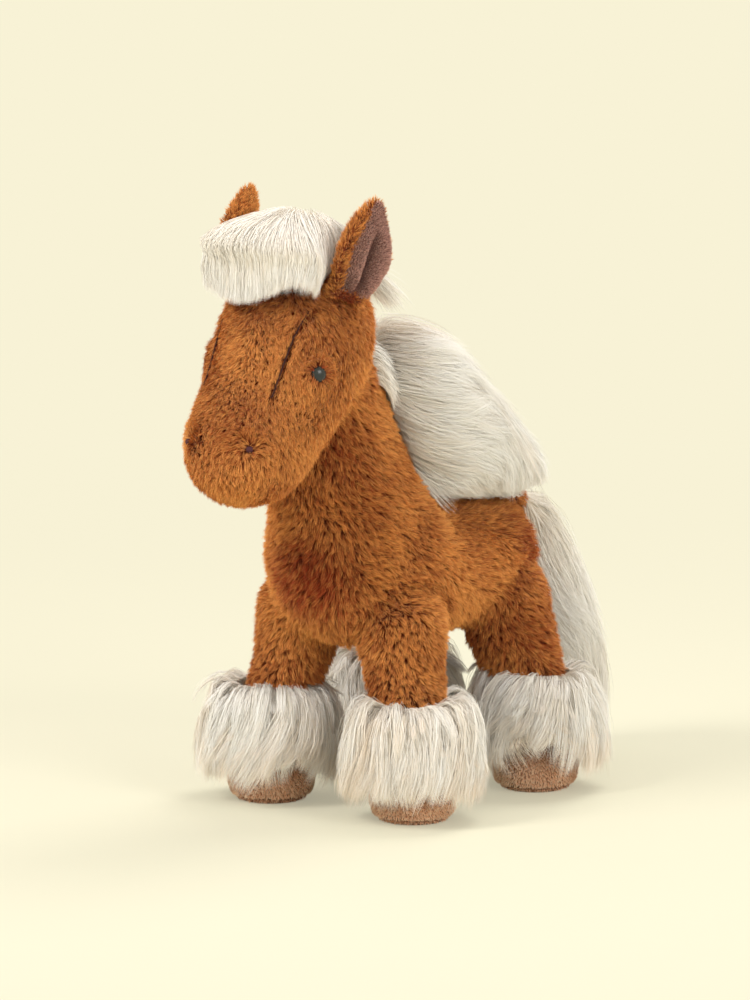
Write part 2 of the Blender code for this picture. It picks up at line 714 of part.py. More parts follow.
def add_head(joint):
    """The head's cover and filling, the eyes, nostrils and forelock, and the ears' grooves."""
    skin = head_form("head_cover")
    plain = head_form("head_lining", steps=1)
    tree = form_tree(skin)
    socket, sweep = add_neck_clearance(joint)
    hollow = add_cutter("cut_head_hollow", offset(plain, "cut_head_hollow", -COVER_THICKNESS), joint)
    inside = COVER_THICKNESS + FILLING_GAP
    filling = add_part("head_filling", offset(plain, "head_filling", -inside), FIBRE_FILLING, joint)
    forelock_bed = add_cutter("cut_forelock_bed", offset(skin, "cut_forelock_bed", FIT_GAP), joint)
    cover = add_part("head_cover", skin, BROWN_PLUSH, joint)
    cut(cover, hollow, socket, sweep)
    cut(filling, socket, sweep)
    for side_name, side in (("left", 1), ("right", -1)):
        add_eye(side_name, side, tree, joint, cover, filling)
        add_nostril(side_name, side, tree, joint)
        groove_name = "cut_" + side_name + "_ear_groove"
        groove_radius = clear_radius(EAR_BEAD_RADIUS + FIT_GAP, SMALL_SEGMENTS)
        groove_mesh = rod_form(groove_name, groove_radius, EAR_BEAD_LENGTH + FIT_GAP + FIT_GAP)
        cut(cover, add_cutter(groove_name, groove_mesh, joint, ear_frame(side)))
        ear_joint = add_joint(side_name + "_ear_joint", Vector(), joint)
        ear_joint.matrix_local = ear_frame(side)
        add_ear(side_name, side, ear_joint)
    crown = head_axes()[0]
    rows = scaled_rows(FORELOCK_SHARES, HEAD_WIDTH, HEAD_WIDTH, FORELOCK_WIDTH, crown)
    start = scaled_place(FORELOCK_START_SHARES, HEAD_WIDTH, HEAD_WIDTH, crown)
    end = scaled_place(FORELOCK_END_SHARES, HEAD_WIDTH, HEAD_WIDTH, crown)
    forelock = add_part("forelock", loft("forelock", start, rows, end), CREAM_PILE, joint)
    cut(forelock, forelock_bed)


def leg_profile(radius, inset, bottom):
    """A leg's radius and height pairs from the top of its ball down to the ankle."""
    points = arc(HIP_RADIUS - inset, 0, 0, HIP_BALL_END, HIP_ARC_STEPS)
    length = HIP_HEIGHT - HOOF_HEIGHT
    for place_share, width_share in LEG_SHARES:
        points.append((radius * width_share - inset, -length * place_share))
    points.append((ANKLE_RADIUS - inset, bottom))
    return points


def splay(side, end):
    """A rule that leans a leg out from its hip and brings it upright again at the hoof."""
    length = HIP_HEIGHT - HOOF_HEIGHT
    reach = (FOOT_REACH_SHARE - HIP_REACH_SHARE) * BODY_LENGTH
    lean = Vector((side * (FOOT_SPREAD - HIP_SPREAD), end * reach, 0))

    def rule(place):
        drop = min(max(-place.z / length, 0), 1)
        return place + lean * (drop * drop * (3 - 2 * drop))

    return rule


def add_leg(name, side, end, joint):
    """A leg's cover and filling, its feather, hoof, sole and bag of pellets."""
    radius = FRONT_LEG_RADIUS if end < 0 else REAR_LEG_RADIUS
    rule = splay(side, end)
    bottom = HOOF_HEIGHT + FIT_GAP - HIP_HEIGHT
    outer = leg_profile(radius, 0, bottom)
    inner = leg_profile(radius, COVER_THICKNESS, bottom)
    cover = turned(name + "_cover", outer + inner[::-1], LEG_SEGMENTS)
    add_part(name + "_cover", moved(cover, rule), BROWN_PLUSH, joint)
    core = leg_profile(radius, COVER_THICKNESS + FILLING_GAP, bottom)
    filling = turned(name + "_filling", core + [(0, bottom)], LEG_SEGMENTS)
    add_part(name + "_filling", moved(filling, rule), FIBRE_FILLING, joint)
    for piece, profile, closed, finish in foot_profiles(radius):
        mesh = turned(name + piece, profile, LEG_SEGMENTS, closed)
        mesh.transform(Matrix.Translation((0, 0, -HIP_HEIGHT)))
        add_part(name + piece, moved(mesh, rule), finish, joint)


def foot_profiles(radius):
    """The pieces of a foot as name, profile over the ground, whether it is a ring, and finish."""
    hoof_outer = [(HOOF_MOUTH_RADIUS, HOOF_HEIGHT)]
    hoof_outer += [(HOOF_RADIUS * share, HOOF_HEIGHT * place) for place, share in HOOF_SHARES]
    hoof_bottom = SOLE_THICKNESS + FIT_GAP
    hoof_outer.append((SOLE_RADIUS, hoof_bottom))
    hoof_inner = [(HOOF_MOUTH_RADIUS - VELOUR_THICKNESS, HOOF_HEIGHT)]
    hoof_inner += [((HOOF_RADIUS - VELOUR_THICKNESS) * share, HOOF_HEIGHT * place - VELOUR_THICKNESS * place)
                   for place, share in HOOF_SHARES]
    hoof_inner.append((SOLE_RADIUS - VELOUR_THICKNESS, hoof_bottom))
    sole = [(0, SOLE_THICKNESS), (SOLE_RADIUS, SOLE_THICKNESS), (SOLE_RADIUS, SOLE_EDGE),
            (SOLE_RADIUS - SOLE_EDGE, 0), (0, 0)]
    pellets = [(0, HOOF_HEIGHT)]
    pellets += [(PELLET_RADIUS * share, HOOF_HEIGHT * place) for place, share in PELLET_SHARES]
    pellets += [(PELLET_RADIUS * SINK_SHARE, hoof_bottom), (0, hoof_bottom)]
    return (
        ("_feather", feather_profile(radius), True, CREAM_PILE),
        ("_hoof", hoof_outer + hoof_inner[::-1], True, HOOF_VELOUR),
        ("_sole", sole, False, HOOF_VELOUR),
        ("_pellet_bag", pellets, False, PELLET_CLOTH),
    )


def feather_profile(radius):
    """A bell-shaped cuff that starts tight round the leg and flares over the hoof."""
    depth = FEATHER_TOP - FEATHER_BOTTOM
    grip = radius + FIT_GAP
    outer = [(grip + FEATHER_THICKNESS / 2, FEATHER_TOP)]
    outer += [(FEATHER_RADIUS * share, FEATHER_BOTTOM + depth * place) for place, share in FEATHER_SHARES]
    rim = FEATHER_RADIUS * FEATHER_SHARES[-1][1]
    outer.append((rim - FEATHER_THICKNESS / 2, FEATHER_BOTTOM))
    inner = [(max(FEATHER_RADIUS * share - FEATHER_THICKNESS, grip), FEATHER_BOTTOM + depth * place)
             for place, share in FEATHER_SHARES]
    inner.append((rim - FEATHER_THICKNESS, FEATHER_BOTTOM))
    return outer + inner[::-1] + [(grip, FEATHER_TOP)]


def tail_root_place():
    """Where the tail's dock leaves the rump."""
    return Vector((0, TAIL_ROOT_BACK_SHARE * BODY_LENGTH, TAIL_ROOT_HEIGHT_SHARE * NECK_HEIGHT))


def tail_dock_vector():
    """The way from the dock's root to its far ball."""
    return Vector((0, math.cos(TAIL_DOCK_SLOPE), math.sin(TAIL_DOCK_SLOPE))) * TAIL_DOCK_LENGTH


def add_tail(root):
    """The sewn-in dock, which swings in the rump, and the tail that hangs from it."""
    swing = add_joint("tail_swing_joint", tail_root_place(), root)
    profile = arc(TAIL_ROOT_RADIUS, 0, math.pi, TAIL_ROOT_END, SMALL_ARC_STEPS)
    profile.append((TAIL_DOCK_WAIST, TAIL_DOCK_LENGTH / 2))
    profile += arc(TAIL_DOCK_RADIUS, TAIL_DOCK_LENGTH, TAIL_DOCK_START, 0, SMALL_ARC_STEPS)
    dock = turned("tail_dock", profile, SMALL_SEGMENTS)
    turn = Matrix.Rotation(TAIL_DOCK_SLOPE - math.pi / 2, 4, "X")
    add_part("tail_dock", dock, BROWN_PLUSH, swing, turn)
    lift = add_joint("tail_lift_joint", tail_dock_vector(), swing)
    rows = scaled_rows(TAIL_SHARES, TAIL_LENGTH, TAIL_LENGTH, TAIL_WIDTH)
    count = len(rows) - 1
    rows = [(*row[:-1], TAIL_SHIFT * index / count) for index, row in enumerate(rows)]
    start = scaled_place(TAIL_START_SHARES, TAIL_LENGTH, TAIL_LENGTH)
    end = scaled_place(TAIL_END_SHARES, TAIL_LENGTH, TAIL_LENGTH, (TAIL_SHIFT, 0, 0))
    tail = add_part("tail", loft("tail", start, rows, end), CREAM_PILE, lift)
    cup_radius = clear_radius(TAIL_DOCK_RADIUS + FIT_GAP, SMALL_SEGMENTS)
    cut(tail, add_cutter("cut_tail_cup", ball("cut_tail_cup", cup_radius), lift))
    socket_radius = clear_radius(TAIL_ROOT_RADIUS + FIT_GAP, SMALL_SEGMENTS)
    socket = add_cutter("cut_tail_socket", ball("cut_tail_socket", socket_radius), swing)
    cut(bpy.data.objects["trunk_cover"], socket)
    cut(bpy.data.objects["trunk_filling"], socket)


def part_corners():
    """The corners of the whole toy as it stands before it is centred."""
    depsgraph = bpy.context.evaluated_depsgraph_get()
    places = []
    for obj in bpy.data.collections[OBJECT_NAME].objects:
        if obj.type == "MESH":
            shape = obj.evaluated_get(depsgraph)
            places += [shape.matrix_world @ vert.co for vert in shape.data.vertices]
    lowest = [min(place[axis] for place in places) for axis in range(3)]
    highest = [max(place[axis] for place in places) for axis in range(3)]
    return lowest, highest


def centre_on_ground(root):
    """Put the middle of the toy's base at the origin."""
    lowest, highest = part_corners()
    root.location = (-(lowest[0] + highest[0]) / 2, -(lowest[1] + highest[1]) / 2, -lowest[2])
    bpy.context.view_layer.update()


def main():
    """Build the horse."""
    clear_scene()
    new_collection(OBJECT_NAME)
    new_collection(CUTTERS_NAME).hide_render = True
    root = add_joint("horse", Vector(), None)
    add_trunk(root)
    add_mane(root)
    turn_joint = add_joint("head_turn_joint", neck_pivot(), root, neck_turn())
    add_neck_seam(turn_joint)
    nod_joint = add_joint("head_nod_joint", Vector(), turn_joint, neck_turn().inverted())
    add_head(nod_joint)
    for end_name, end in (("front", -1), ("rear", 1)):
        for side_name, side in (("left", 1), ("right", -1)):
            name = end_name + "_" + side_name + "_leg"
            hip = add_joint(name + "_joint", hip_place(side, end), root)
            add_leg(name, side, end, hip)
    add_tail(root)
    bpy.context.view_layer.update()
    centre_on_ground(root)


main()
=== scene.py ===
"""A standing plush horse: short brown pile over stuffed covers, and long cream hair."""
import json
import math

import bmesh
import bpy
import numpy as np
from bpy.props import FloatProperty, FloatVectorProperty, PointerProperty
from mathutils import Matrix, Vector
from mathutils.bvhtree import BVHTree
from mathutils.kdtree import KDTree


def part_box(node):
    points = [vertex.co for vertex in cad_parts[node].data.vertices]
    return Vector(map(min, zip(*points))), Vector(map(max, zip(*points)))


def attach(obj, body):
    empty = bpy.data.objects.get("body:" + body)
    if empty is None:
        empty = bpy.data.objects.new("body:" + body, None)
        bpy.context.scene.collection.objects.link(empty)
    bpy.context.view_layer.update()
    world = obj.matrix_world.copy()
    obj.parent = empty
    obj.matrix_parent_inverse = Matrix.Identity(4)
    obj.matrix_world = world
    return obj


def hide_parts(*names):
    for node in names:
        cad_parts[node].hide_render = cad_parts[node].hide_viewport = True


bl_info = {
    "name": "Plush Horse",
    "version": (1, 0, 0),
    "blender": (4, 5, 0),
    "location": "View3D > Sidebar > Plush Horse",
    "description": "Covers, pile, long hair, hooves, ears and face of a standing plush horse",
    "category": "Object",
}

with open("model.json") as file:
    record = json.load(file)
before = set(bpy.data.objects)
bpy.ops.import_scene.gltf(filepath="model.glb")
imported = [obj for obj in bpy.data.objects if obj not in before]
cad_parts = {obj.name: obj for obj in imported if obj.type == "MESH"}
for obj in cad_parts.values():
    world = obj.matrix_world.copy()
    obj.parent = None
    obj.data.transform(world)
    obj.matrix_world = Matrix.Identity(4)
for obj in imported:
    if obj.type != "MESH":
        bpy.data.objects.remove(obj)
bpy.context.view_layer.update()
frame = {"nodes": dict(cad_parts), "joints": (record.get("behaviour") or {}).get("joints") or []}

LEGS = ("front_left_leg", "front_right_leg", "rear_left_leg", "rear_right_leg")
SIDES = (("left", 1), ("right", -1))
UP = np.array((0.0, 0.0, 1.0))
LEVEL = np.array((1.0, 1.0, 0.0))
UP_VECTOR = Vector((0, 0, 1))
MM = 0.001
SMALL_DIVISOR = 1e-6
STRAND_MAP = "OFBake"
MOST_TRIANGLES = 190000

# The covers as they are stuffed
FORM_VOXEL = 0.0030
COVER_VOXEL = 0.0026
EAR_VOXEL = 0.0012
WELD = 1e-6
JOINT_DEPTH = 0.0025
COVER_WAVE = 0.028
COVER_UNEVENNESS = 0.0005
SHALLOW_SHARE = 0.62
SHALLOW_REACH = (0.0055, 0.0120)
NECK_SEAM_DRAWN_IN = 0.85

# A strand's map: what is left free at its ends, and how wide its tone lies
MAP_MARGIN = 0.03
MAP_HALF_WIDTH = 0.004
TONE_MARGIN = 0.02

# How the pile's strands differ, in shares by wave, by tuft and by strand
PILE_LEVELS = (0.0, 0.55, 1.0)
PILE_WIDTHS = (0.9, 1.0, 0.0)
PILE_FORCES = (0.95, 1.4)
PILE_SWIRL = (0.50, 0.60, 0.30)
PILE_SWIRL_WAVE = 0.016
PILE_LEAN_SHARE = 0.25
PILE_LEANS = (0.05, 1.45)
PILE_LENGTH_SHARE = 0.16
PILE_TWIST = 1.1
PILE_TONE = 0.66
PILE_TONES = (0.15, 0.20, 0.30)
PILE_TONE_WAVE = 0.026
LOCK_NOISE_SHARE = 0.12
HAIR_CLEARANCE = 0.002

# How long hair's strands differ, in shares by wave, by lock and by strand
HAIR_WIDTHS = ((0, 0.3, 0.75, 1), (0.85, 1.0, 0.75, 0))
HAIR_SWIRL = (0.28, 0.20, 0.12)
HAIR_SWIRL_WAVE = 0.030
HAIR_LAYER = 0.0026
HAIR_TWIST = 1.2
HAIR_TONE = 0.94
HAIR_TONES = (0.12, 0.14, 0.14)
HAIR_TONE_WAVE = 0.025
FREE_DEPTH = 0.012
SHORTEST_CUT = 0.3

# The trunk's pile: its flow, painted shade in the chest's middle, haunch and throat, and the nape
TRUNK_SPREAD = 9
TRUNK_FLOW_BACK = 0.45
TRUNK_FLOW_UP = -0.75
TRUNK_TONE = 0.07
TRUNK_PILE_SHARE = 0.95
TRUNK_FINENESS = 1.2
BREAST_FROM_NECK = np.array((0.0, -0.018, -0.097))
BREAST_REACH = (0.008, 0.040)
BREAST_SHADE = 0.66
HAUNCH_REAR = (0.030, 0.065)
HAUNCH_TOP = (0.125, 0.150)
HAUNCH_SHADE = 0.28
THROAT_FRONT = (0.035, 0.060)
THROAT_BOTTOM = (0.150, 0.180)
THROAT_SHADE = 0.16
NECK_FADE = 0.05
NECK_SHORTER = 0.12
NAPE_HEIGHTS = (0.002, 0.012)
NAPE_DEPTHS = (0.006, 0.016)
NAPE_SHORTER = 0.90

# The head's pile: its flow, its length from the nose on, and its whorls as the clear middle,
# the reach and the share by which the pile is shorter there and, doubled, darker as painted shade
HEAD_FLOW = np.array((0.0, -0.25, -0.70))
HEAD_FORCE = 1.8
HEAD_TONE = 0.05
HEAD_FINENESS = 1.8
NOSE_PILE_SHARE = 0.84
NOSE_PILE_RISE = 0.18
NOSE_PILE_REACH = (0.02, 0.09)
MUZZLE_DARKER = 0.12
MUZZLE_REACH = (0.020, 0.055)
EYE_WHORL = (0.0018, 0.011, 0.15)
NOSTRIL_WHORL = (0.0007, 0.019, 0.05)
WHORL_FORCE = 1.30
BARE_SHARE = 0.05

# The seam between forehead and cheek: heights from the eye, places to the side, the parting
# of the pile along it with painted shade deep in it, and its thread, near-black as painted shade too
SEAM_HEIGHTS = (-0.0118, -0.0062, 0.0049, 0.0180, 0.0246, 0.0307)
SEAM_SIDES = (0.0200, 0.0203, 0.0212, 0.0222, 0.0232, 0.0240)
SEAM_FADE = 0.004
SEAM_REAR = (0.004, 0.010)
SEAM_PARTING = (0.0003, 0.0028)
SEAM_PARTING_FORCE = 0.55
SEAM_DEEP = (0.0003, 0.0012)
SEAM_SHORTER = 0.45
SEAM_SHADE = 0.30
SEAM_LIFT = 0.0033
SEAM_THREAD = 0.00055
SEAM_STEPS = 40
SEAM_SEEN_FROM = -1.0

# The legs' pile, with painted shade on the thigh and on the shaded leg
LEG_FLOW = np.array((0.0, 0.15, -0.85))
LEG_SPREAD = 0.5
LEG_TOP = (-0.010, 0.015)
LEG_TOP_FORCE = 1.3
LEG_PILE_SHARE = 0.85
LEG_FINENESS = 1.25
LEG_BODY_TONE_SHARE = 0.7
THIGH_FRONT = (0.020, 0.045)
THIGH_BOTTOM = (0.070, 0.090)
THIGH_SHADE = 0.24
ANKLE_HEIGHTS = (0.060, 0.085)
ANKLE_DARKER = 0.06
SHADED_LEG = "front_right_leg"
SHADED_LEG_DARKER = 0.14

# The ear's leaf: half width, height, depth of its hollow, and its outline as height and width
# shares, then the back's fold, the lining's two pads beside a crease, and painted shade in fold, crease and
# lining base
EAR_HALF = 0.0155
EAR_HEIGHT = 0.050
EAR_HOLLOW = 0.005
EAR_OUTLINE_SHARES = ((0.0, 0.18, 0.38, 0.58, 0.76, 0.91, 1.0), (0.64, 0.84, 1.0, 0.90, 0.64, 0.32, 0.10))
EAR_TIP_DEPTH = 0.002
EAR_SET_IN = 0.0008
EAR_PILE_SHARE = 0.55
EAR_FINENESS = 1.8
EAR_CLOSENESS = 1.6
EAR_RIM_SHARE = -0.52
EAR_BASE = 0.005
EAR_FACING = 0.25
FOLD_HALF = 0.001
FOLD_TIP_HALF = 0.0025
FOLD_WIDENING = 0.0075
FOLD_NARROWS = (0.012, 0.042)
FOLD_ENDS = (0.030, 0.042)
CREASE_MIDDLE = 0.002
CREASE_SIDES = (0.0006, 0.0036)
CREASE_ENDS = (0.024, 0.036)
LINING_SHADE = (0.004, 0.020)
LINING_BELOW = 0.0025
LINING_ABOVE = 0.0015
LINING_ROWS = 44
LINING_COLUMNS = 37
LINING_HALF_SHARE = 0.79
LINING_SHIFT_SHARE = 0.17
LINING_HALF_THICKNESS = 0.0003
LINING_PAD = 0.0042
LINING_TAPER_SHARES = ((0, 0.12, 0.7, 1), (0.1, 1, 0.8, 0))
LINING_JOIN = (0.55, 0.80)
LINING_WAVE = 0.0035
LINING_UNEVENNESS = 0.00015
LINING_NAP = 0.0017
LINING_NAP_FINENESS = 4.0
LINING_CLOSENESS = 2
LINING_FACING = 0.05

# The eye's dome and shank, from the middle of its face
EYE_SUNK = 0.0018
EYE_RADIUS = 0.0045
EYE_DOME = 0.0032
EYE_BACK_RADIUS = 0.0043
EYE_BACK = 0.0036
EYE_SHANK_RADIUS = 0.0015
EYE_STEPS = 12

# The nostril's stitches
STITCH_ROWS = range(-3, 4)
STITCH_SPACING = 0.00048
STITCH_RADIUS = 0.00036
STITCH_HALF = 0.0018
STITCH_SHARE = 0.92
STITCH_RISE = 0.0012
STITCH_ROOT = 0.0002
NOSTRIL_SUNK = 0.0032

# The mane, and the short hair on the nape in front of it
MANE_DROP = 0.94
MANE_HIDDEN = 0.001
MANE_SPREAD = 0.010
MANE_DROP_REACH = (0.02, 0.10)
MANE_LIFT = 0.0038
MANE_EDGE = (0.005, 0.045)
MANE_LOOSE = 0.011
NAPE_HAIR_HEIGHT = 0.004
NAPE_HAIR_DEPTH = 0.010
NAPE_HAIR_ROOT = 0.003
NAPE_HAIR_SHARE = 0.35
HAIR_ROOT = 0.0010
SHORTEST_HAIR = 0.005

# The forelock: its core, its lower edge, how its front stands out, and the locks behind the ears
FORELOCK_DROP = 0.72
FORELOCK_CORE_SHARE = 1.5
FORELOCK_CORE_DROP = 0.64
FORELOCK_CLOSENESS = 2.2
FORELOCK_HIDDEN = -0.003
FORELOCK_LIFT = 0.0022
FORELOCK_EDGE = 0.0020
FORELOCK_EDGE_RISE = 0.0085
FORELOCK_HALF = 0.028
FORELOCK_LEFT_RISE = 0.0060
FORELOCK_LEFT = (-0.006, 0.024)
FORELOCK_INWARD = 0.020
FORELOCK_OVER = 0.004
FORELOCK_LENGTHS = (0.010, 0.070)
FORELOCK_FREE = 0.004
FORELOCK_LOOSE = 0.003
FORELOCK_SPREAD = 4
FORELOCK_FLOW = np.array((0.0, -0.25, -1.0))
FORELOCK_FRONT = (-0.028, -0.010)
FORELOCK_DRAWN_BACK = 0.0045
FORELOCK_DRAWN_BELOW = (-0.021, -0.009)
FORELOCK_SWELL = 0.0075
FORELOCK_SWELL_LOW = (-0.024, -0.013)
FORELOCK_SWELL_HIGH = (-0.004, 0.004)
FORELOCK_ENDS = (-0.0018, 0.0024)
LOCK_COUNT = 900
LOCK_START = np.array((0.0120, -0.0560, 0.2885))
LOCK_START_SPREAD = (0.0040, 0.0030, 0.0010)
LOCK_END = np.array((0.0245, -0.0315, 0.2655))
LOCK_END_SPREAD = (0.0034, 0.0040, 0.0036)
LOCK_FAN = (0.001, 0.001, 0)
LOCK_REACH = 0.002
LOCK_ARCH = 0.006

# The tail and its stub
TAIL_SPREAD = 6
TAIL_FLOW = np.array((0.0, 0.25, -1.0))
TAIL_CORE_TOP = 0.006
TAIL_CORE_DROP = 0.89
TAIL_LIFT = 0.0045
TAIL_EDGE = (0.004, 0.050)
TAIL_LOOSE = 0.010
TAIL_GROUND = 0.004
STUB_PILE_SHARE = 0.6

# A feather: where its strands start and end, how far out they hang, and where the hoof is barer,
# as an angle in degrees and a height
FEATHER_COUNT = 20500
FEATHER_LOCK_SHARE = 0.55
FEATHER_START_DROP = 0.002
FEATHER_START_DEPTH = 0.031
FEATHER_START_RADIUS = 0.0180
FEATHER_START_WIDENING = 0.0065
FEATHER_SWAY = (0.34, 0.24, 0.20)
FEATHER_SWAY_WAVE = 0.026
FEATHER_BARE_WIDTH = (10, 44)
FEATHER_END = 0.0020
FEATHER_END_SPREAD = 0.0030
FEATHER_UPPER_END = 0.006
FEATHER_RADIUS = 0.0400
FEATHER_RADIUS_BY_LOCK = 0.004
FEATHER_RADIUS_BY_STRAND = 0.003
FEATHER_RADIUS_BY_LEVEL = 0.011
FEATHER_CUT = (0.50, 0.10)
FEATHER_BEND = (0.30, 0.30, 0.15)
FEATHER_BEND_WAVE = 0.030
FEATHER_ARCH = (0.009, 0.004)
FEATHER_FLARE = (0.007, 0.008)
FEATHER_FLARE_LOW = (0.010, 0.005)
FEATHER_STRAY = (0.006, 0.003, 0.004, 0.022)
FEATHER_OUT = 0.002
FEATHER_TUCK = 0.012
FEATHER_PULL = 0.62
FEATHER_TONE = 0.86
# A feather's tones by wave, lock, strand and level; by level is painted shade on strands that start lower
FEATHER_TONES = (0.10, 0.18, 0.16, 0.28)
FEATHER_CORE_TOP = 0.006
FEATHER_CORE_DROP = 0.45
FEATHER_CORE_NARROW = 0.78
FEATHER_CORE_DEPTH = 0.0012
FEATHER_BARE = {
    "front_left_leg": (-51, 0.0035),
    "front_right_leg": (-14, 0.011),
    "rear_left_leg": (-50, 0.020),
    "rear_right_leg": (-130, 0.018),
}

# A hoof and its sole, in shares of their radius and height
HOOF_RADIUS_SHARE = 0.95
HOOF_WAIST_SHARE = 0.36
HOOF_DOME_SHARE = 0.99
HOOF_DOME_POWER = 0.72
HOOF_DOME_STEPS = 39
HOOF_UNDER_SHARES = (0.79, 0.20)
HOOF_UNDER_STEPS = 12
HOOF_SEAM_TILT = 0.10
HOOF_FLAT = 0.0005
HOOF_WAVE = 0.011
HOOF_UNEVENNESS = 0.00012
HOOF_FLOW = np.array((0.2, 0.0, -1.1))
HOOF_TONE = -0.05
HOOF_NAP = 0.0015
HOOF_NAP_FINENESS = 3.0
HOOF_NAP_LOW = 0.001
HOOF_NAP_TOP_SHARE = 0.75
SOLE_RADIUS_SHARE = 0.93
SOLE_SHARES = ((0, 1), (0.90, 1), (0.905, 0.8), (0.89, 0.5), (0.86, 0.2), (0.81, 0), (0, 0))
SOLE_NAP_LOW = 0.0012

# The neck seam's pile
SEAM_PILE_SHARE = 0.35
SEAM_PILE_CLOSENESS = 0.8
SEAM_PILE_FACING = 0.2
SEAM_PILE_FRONT = 0.002

# Colours as a screen shows them
BACKING_COLOURS = ((126, 50, 14), (160, 74, 26))
HOOF_NAP_COLOURS = ((236, 174, 130), (244, 186, 140), (255, 240, 208))
EAR_NAP_COLOURS = ((104, 60, 50), (134, 84, 72), (228, 176, 158))
# The face seam's thread, near-black as painted shade of the parting in the pile
SEAM_THREAD_AND_SHADE_COLOURS = ((44, 16, 8), (70, 28, 14))
SEAM_CLOTH_COLOURS = ((96, 40, 18), (140, 70, 34))
WASHER_COLOURS = ((205, 203, 196), (228, 226, 220))

# The stage: its lamps as place, size and power, its light from all round, its floor, and the
# camera's film in millimetres
LAMPS = {
    "key_lamp": ((-0.55, -1.75, 1.75), 0.9, 32),
    "side_lamp": ((1.9, -0.5, 1.1), 1.1, 17),
    "top_lamp": ((0.1, 0.9, 1.9), 1.0, 16),
}
LAMP_AIM = Vector((0, 0, 0.15))
WORLD_COLOUR = (1.0, 0.99, 0.97)
WORLD_STRENGTH = 0.55
FLOOR_RADIUS = 30.0
FLOOR_LIT_SHARES = (0.84, 0.86)
FLOOR_CLOUDS = 9.0
FLOOR_FADE = (0.16, 1.1)
FLOOR_GLOW = (0.35, 1.0)
FILM = 36
CAMERA_REACH = 100


def display(red, green, blue):
    """A colour named as a screen shows it, in the linear values that materials use."""
    shares = (value / 255 for value in (red, green, blue))
    return tuple(((s + 0.055) / 1.055) ** 2.4 if s > 0.04045 else s / 12.92 for s in shares)


def displayed(colours):
    """Several colours named as a screen shows them."""
    return [display(*colour) for colour in colours]


def colour_property(name, description, default):
    """A colour that the sidebar can change."""
    return FloatVectorProperty(
        name=name, description=description, subtype="COLOR", size=3, min=0.0, max=1.0, default=default
    )


def length_property(name, description, default):
    """A length that the sidebar can change."""
    return FloatProperty(name=name, description=description, unit="LENGTH", default=default, precision=4)


def angle_property(name, description, degrees):
    """An angle that the sidebar can change."""
    return FloatProperty(name=name, description=description, subtype="ANGLE", default=math.radians(degrees))


def closeness_property(default):
    """How close strands stand, which the sidebar can change."""
    description = "Strands per square millimetre"
    return FloatProperty(name="Closeness", description=description, default=default, min=0.05)


class PileSettings(bpy.types.PropertyGroup):
    """The short brown pile of body, head, legs and ears."""

    length: length_property("Pile length", "Length of the strands on the body", 0.0084)
    face_length: length_property("Face pile length", "Length of the strands on the head", 0.0068)
    strand_width: length_property("Strand width", "Width of a strand at its root", 0.00030)
    backing_depth: length_property("Backing depth", "How far the cloth lies under the pile", 0.0054)
    tuft_spacing: length_property("Tuft spacing", "Distance between the middles of tufts", 0.0025)
    closeness: closeness_property(5.2)
    pull: FloatProperty(name="Pull", description="How far tufts draw together", default=0.5, min=0.0)
    root_lean: angle_property("Lean at the root", "Lean from upright", 16)
    tip_lean: angle_property("Lean at the tip", "Lean from upright", 58)
    root_colour: colour_property("Root", "Brown deep in the pile", display(128, 44, 10))
    dark_colour: colour_property("Dark tips", "Tips of the darker strands", display(164, 61, 15))
    light_colour: colour_property("Light tips", "Tips of the lighter strands", display(255, 180, 94))


class HairSettings(bpy.types.PropertyGroup):
    """The long cream hair of mane, forelock, tail and feathers."""

    strand_width: length_property("Strand width", "Width of a strand at its root", 0.00024)
    lock_spacing: length_property("Lock spacing", "Distance between the middles of locks", 0.0055)
    closeness: closeness_property(2.0)
    core_depth: length_property("Core depth", "How far the backing lies under the hair", 0.0032)
    mane_length: length_property("Mane length", "Length of the mane's strands", 0.056)
    tail_length: length_property("Tail length", "Length of the tail's strands", 0.075)
    root_colour: colour_property("Root", "Tan at the roots", display(250, 240, 224))
    dark_colour: colour_property("Shaded strands", "The duller strands", display(252, 226, 192))
    light_colour: colour_property("Light strands", "The lighter strands", display(255, 254, 250))


class FootSettings(bpy.types.PropertyGroup):
    """The velour hooves."""

    seam_height: length_property("Seam height", "Height of the seam round a hoof", 0.0085)
    seam_depth: length_property("Seam depth", "Depth of the seam round a hoof", 0.0005)
    seam_width: length_property("Seam width", "Width of the seam round a hoof", 0.0007)
    velour_dark: colour_property("Velour shade", "Where the nap leans away", display(226, 166, 122))
    velour_light: colour_property("Velour light", "Where the nap catches light", display(255, 222, 186))


class FaceSettings(bpy.types.PropertyGroup):
    """The eyes, nostrils and ear linings."""

    eye_colour: colour_property("Eye", "Nearly black plastic", display(6, 8, 10))
    thread_colour: colour_property("Nostril thread", "Dark plum thread", display(74, 34, 40))
    lining_dark: colour_property("Ear lining shade", "Velour in the ear's fold", display(92, 52, 44))
    lining_light: colour_property("Ear lining light", "Velour on the ear's rim", display(190, 136, 118))


class StageSettings(bpy.types.PropertyGroup):
    """The camera, lights and floor."""

    azimuth: angle_property("Azimuth", "Camera turn", 37)
    elevation: angle_property("Elevation", "Camera rise", 10)
    distance: length_property("Distance", "From the camera to the horse", 6.0)
    view_height: length_property("View height", "Height of the view at the horse", 0.520)
    aim_right: length_property("Aim right", "Middle of the view, to the right of the origin", -0.0092)
    aim_up: length_property("Aim up", "Middle of the view, above the origin", 0.1534)
    backdrop_colour: colour_property("Backdrop", "Pale backdrop and floor", display(248, 242, 214))


def numbers(collection, attribute, width=3):
    """A mesh attribute as rows of numbers."""
    values = np.empty(len(collection) * width)
    collection.foreach_get(attribute, values)
    return values.reshape(-1, width)


def unit(vectors):
    """Each row at length one."""
    return vectors / np.maximum(np.linalg.norm(vectors, axis=-1, keepdims=True), 1e-9)


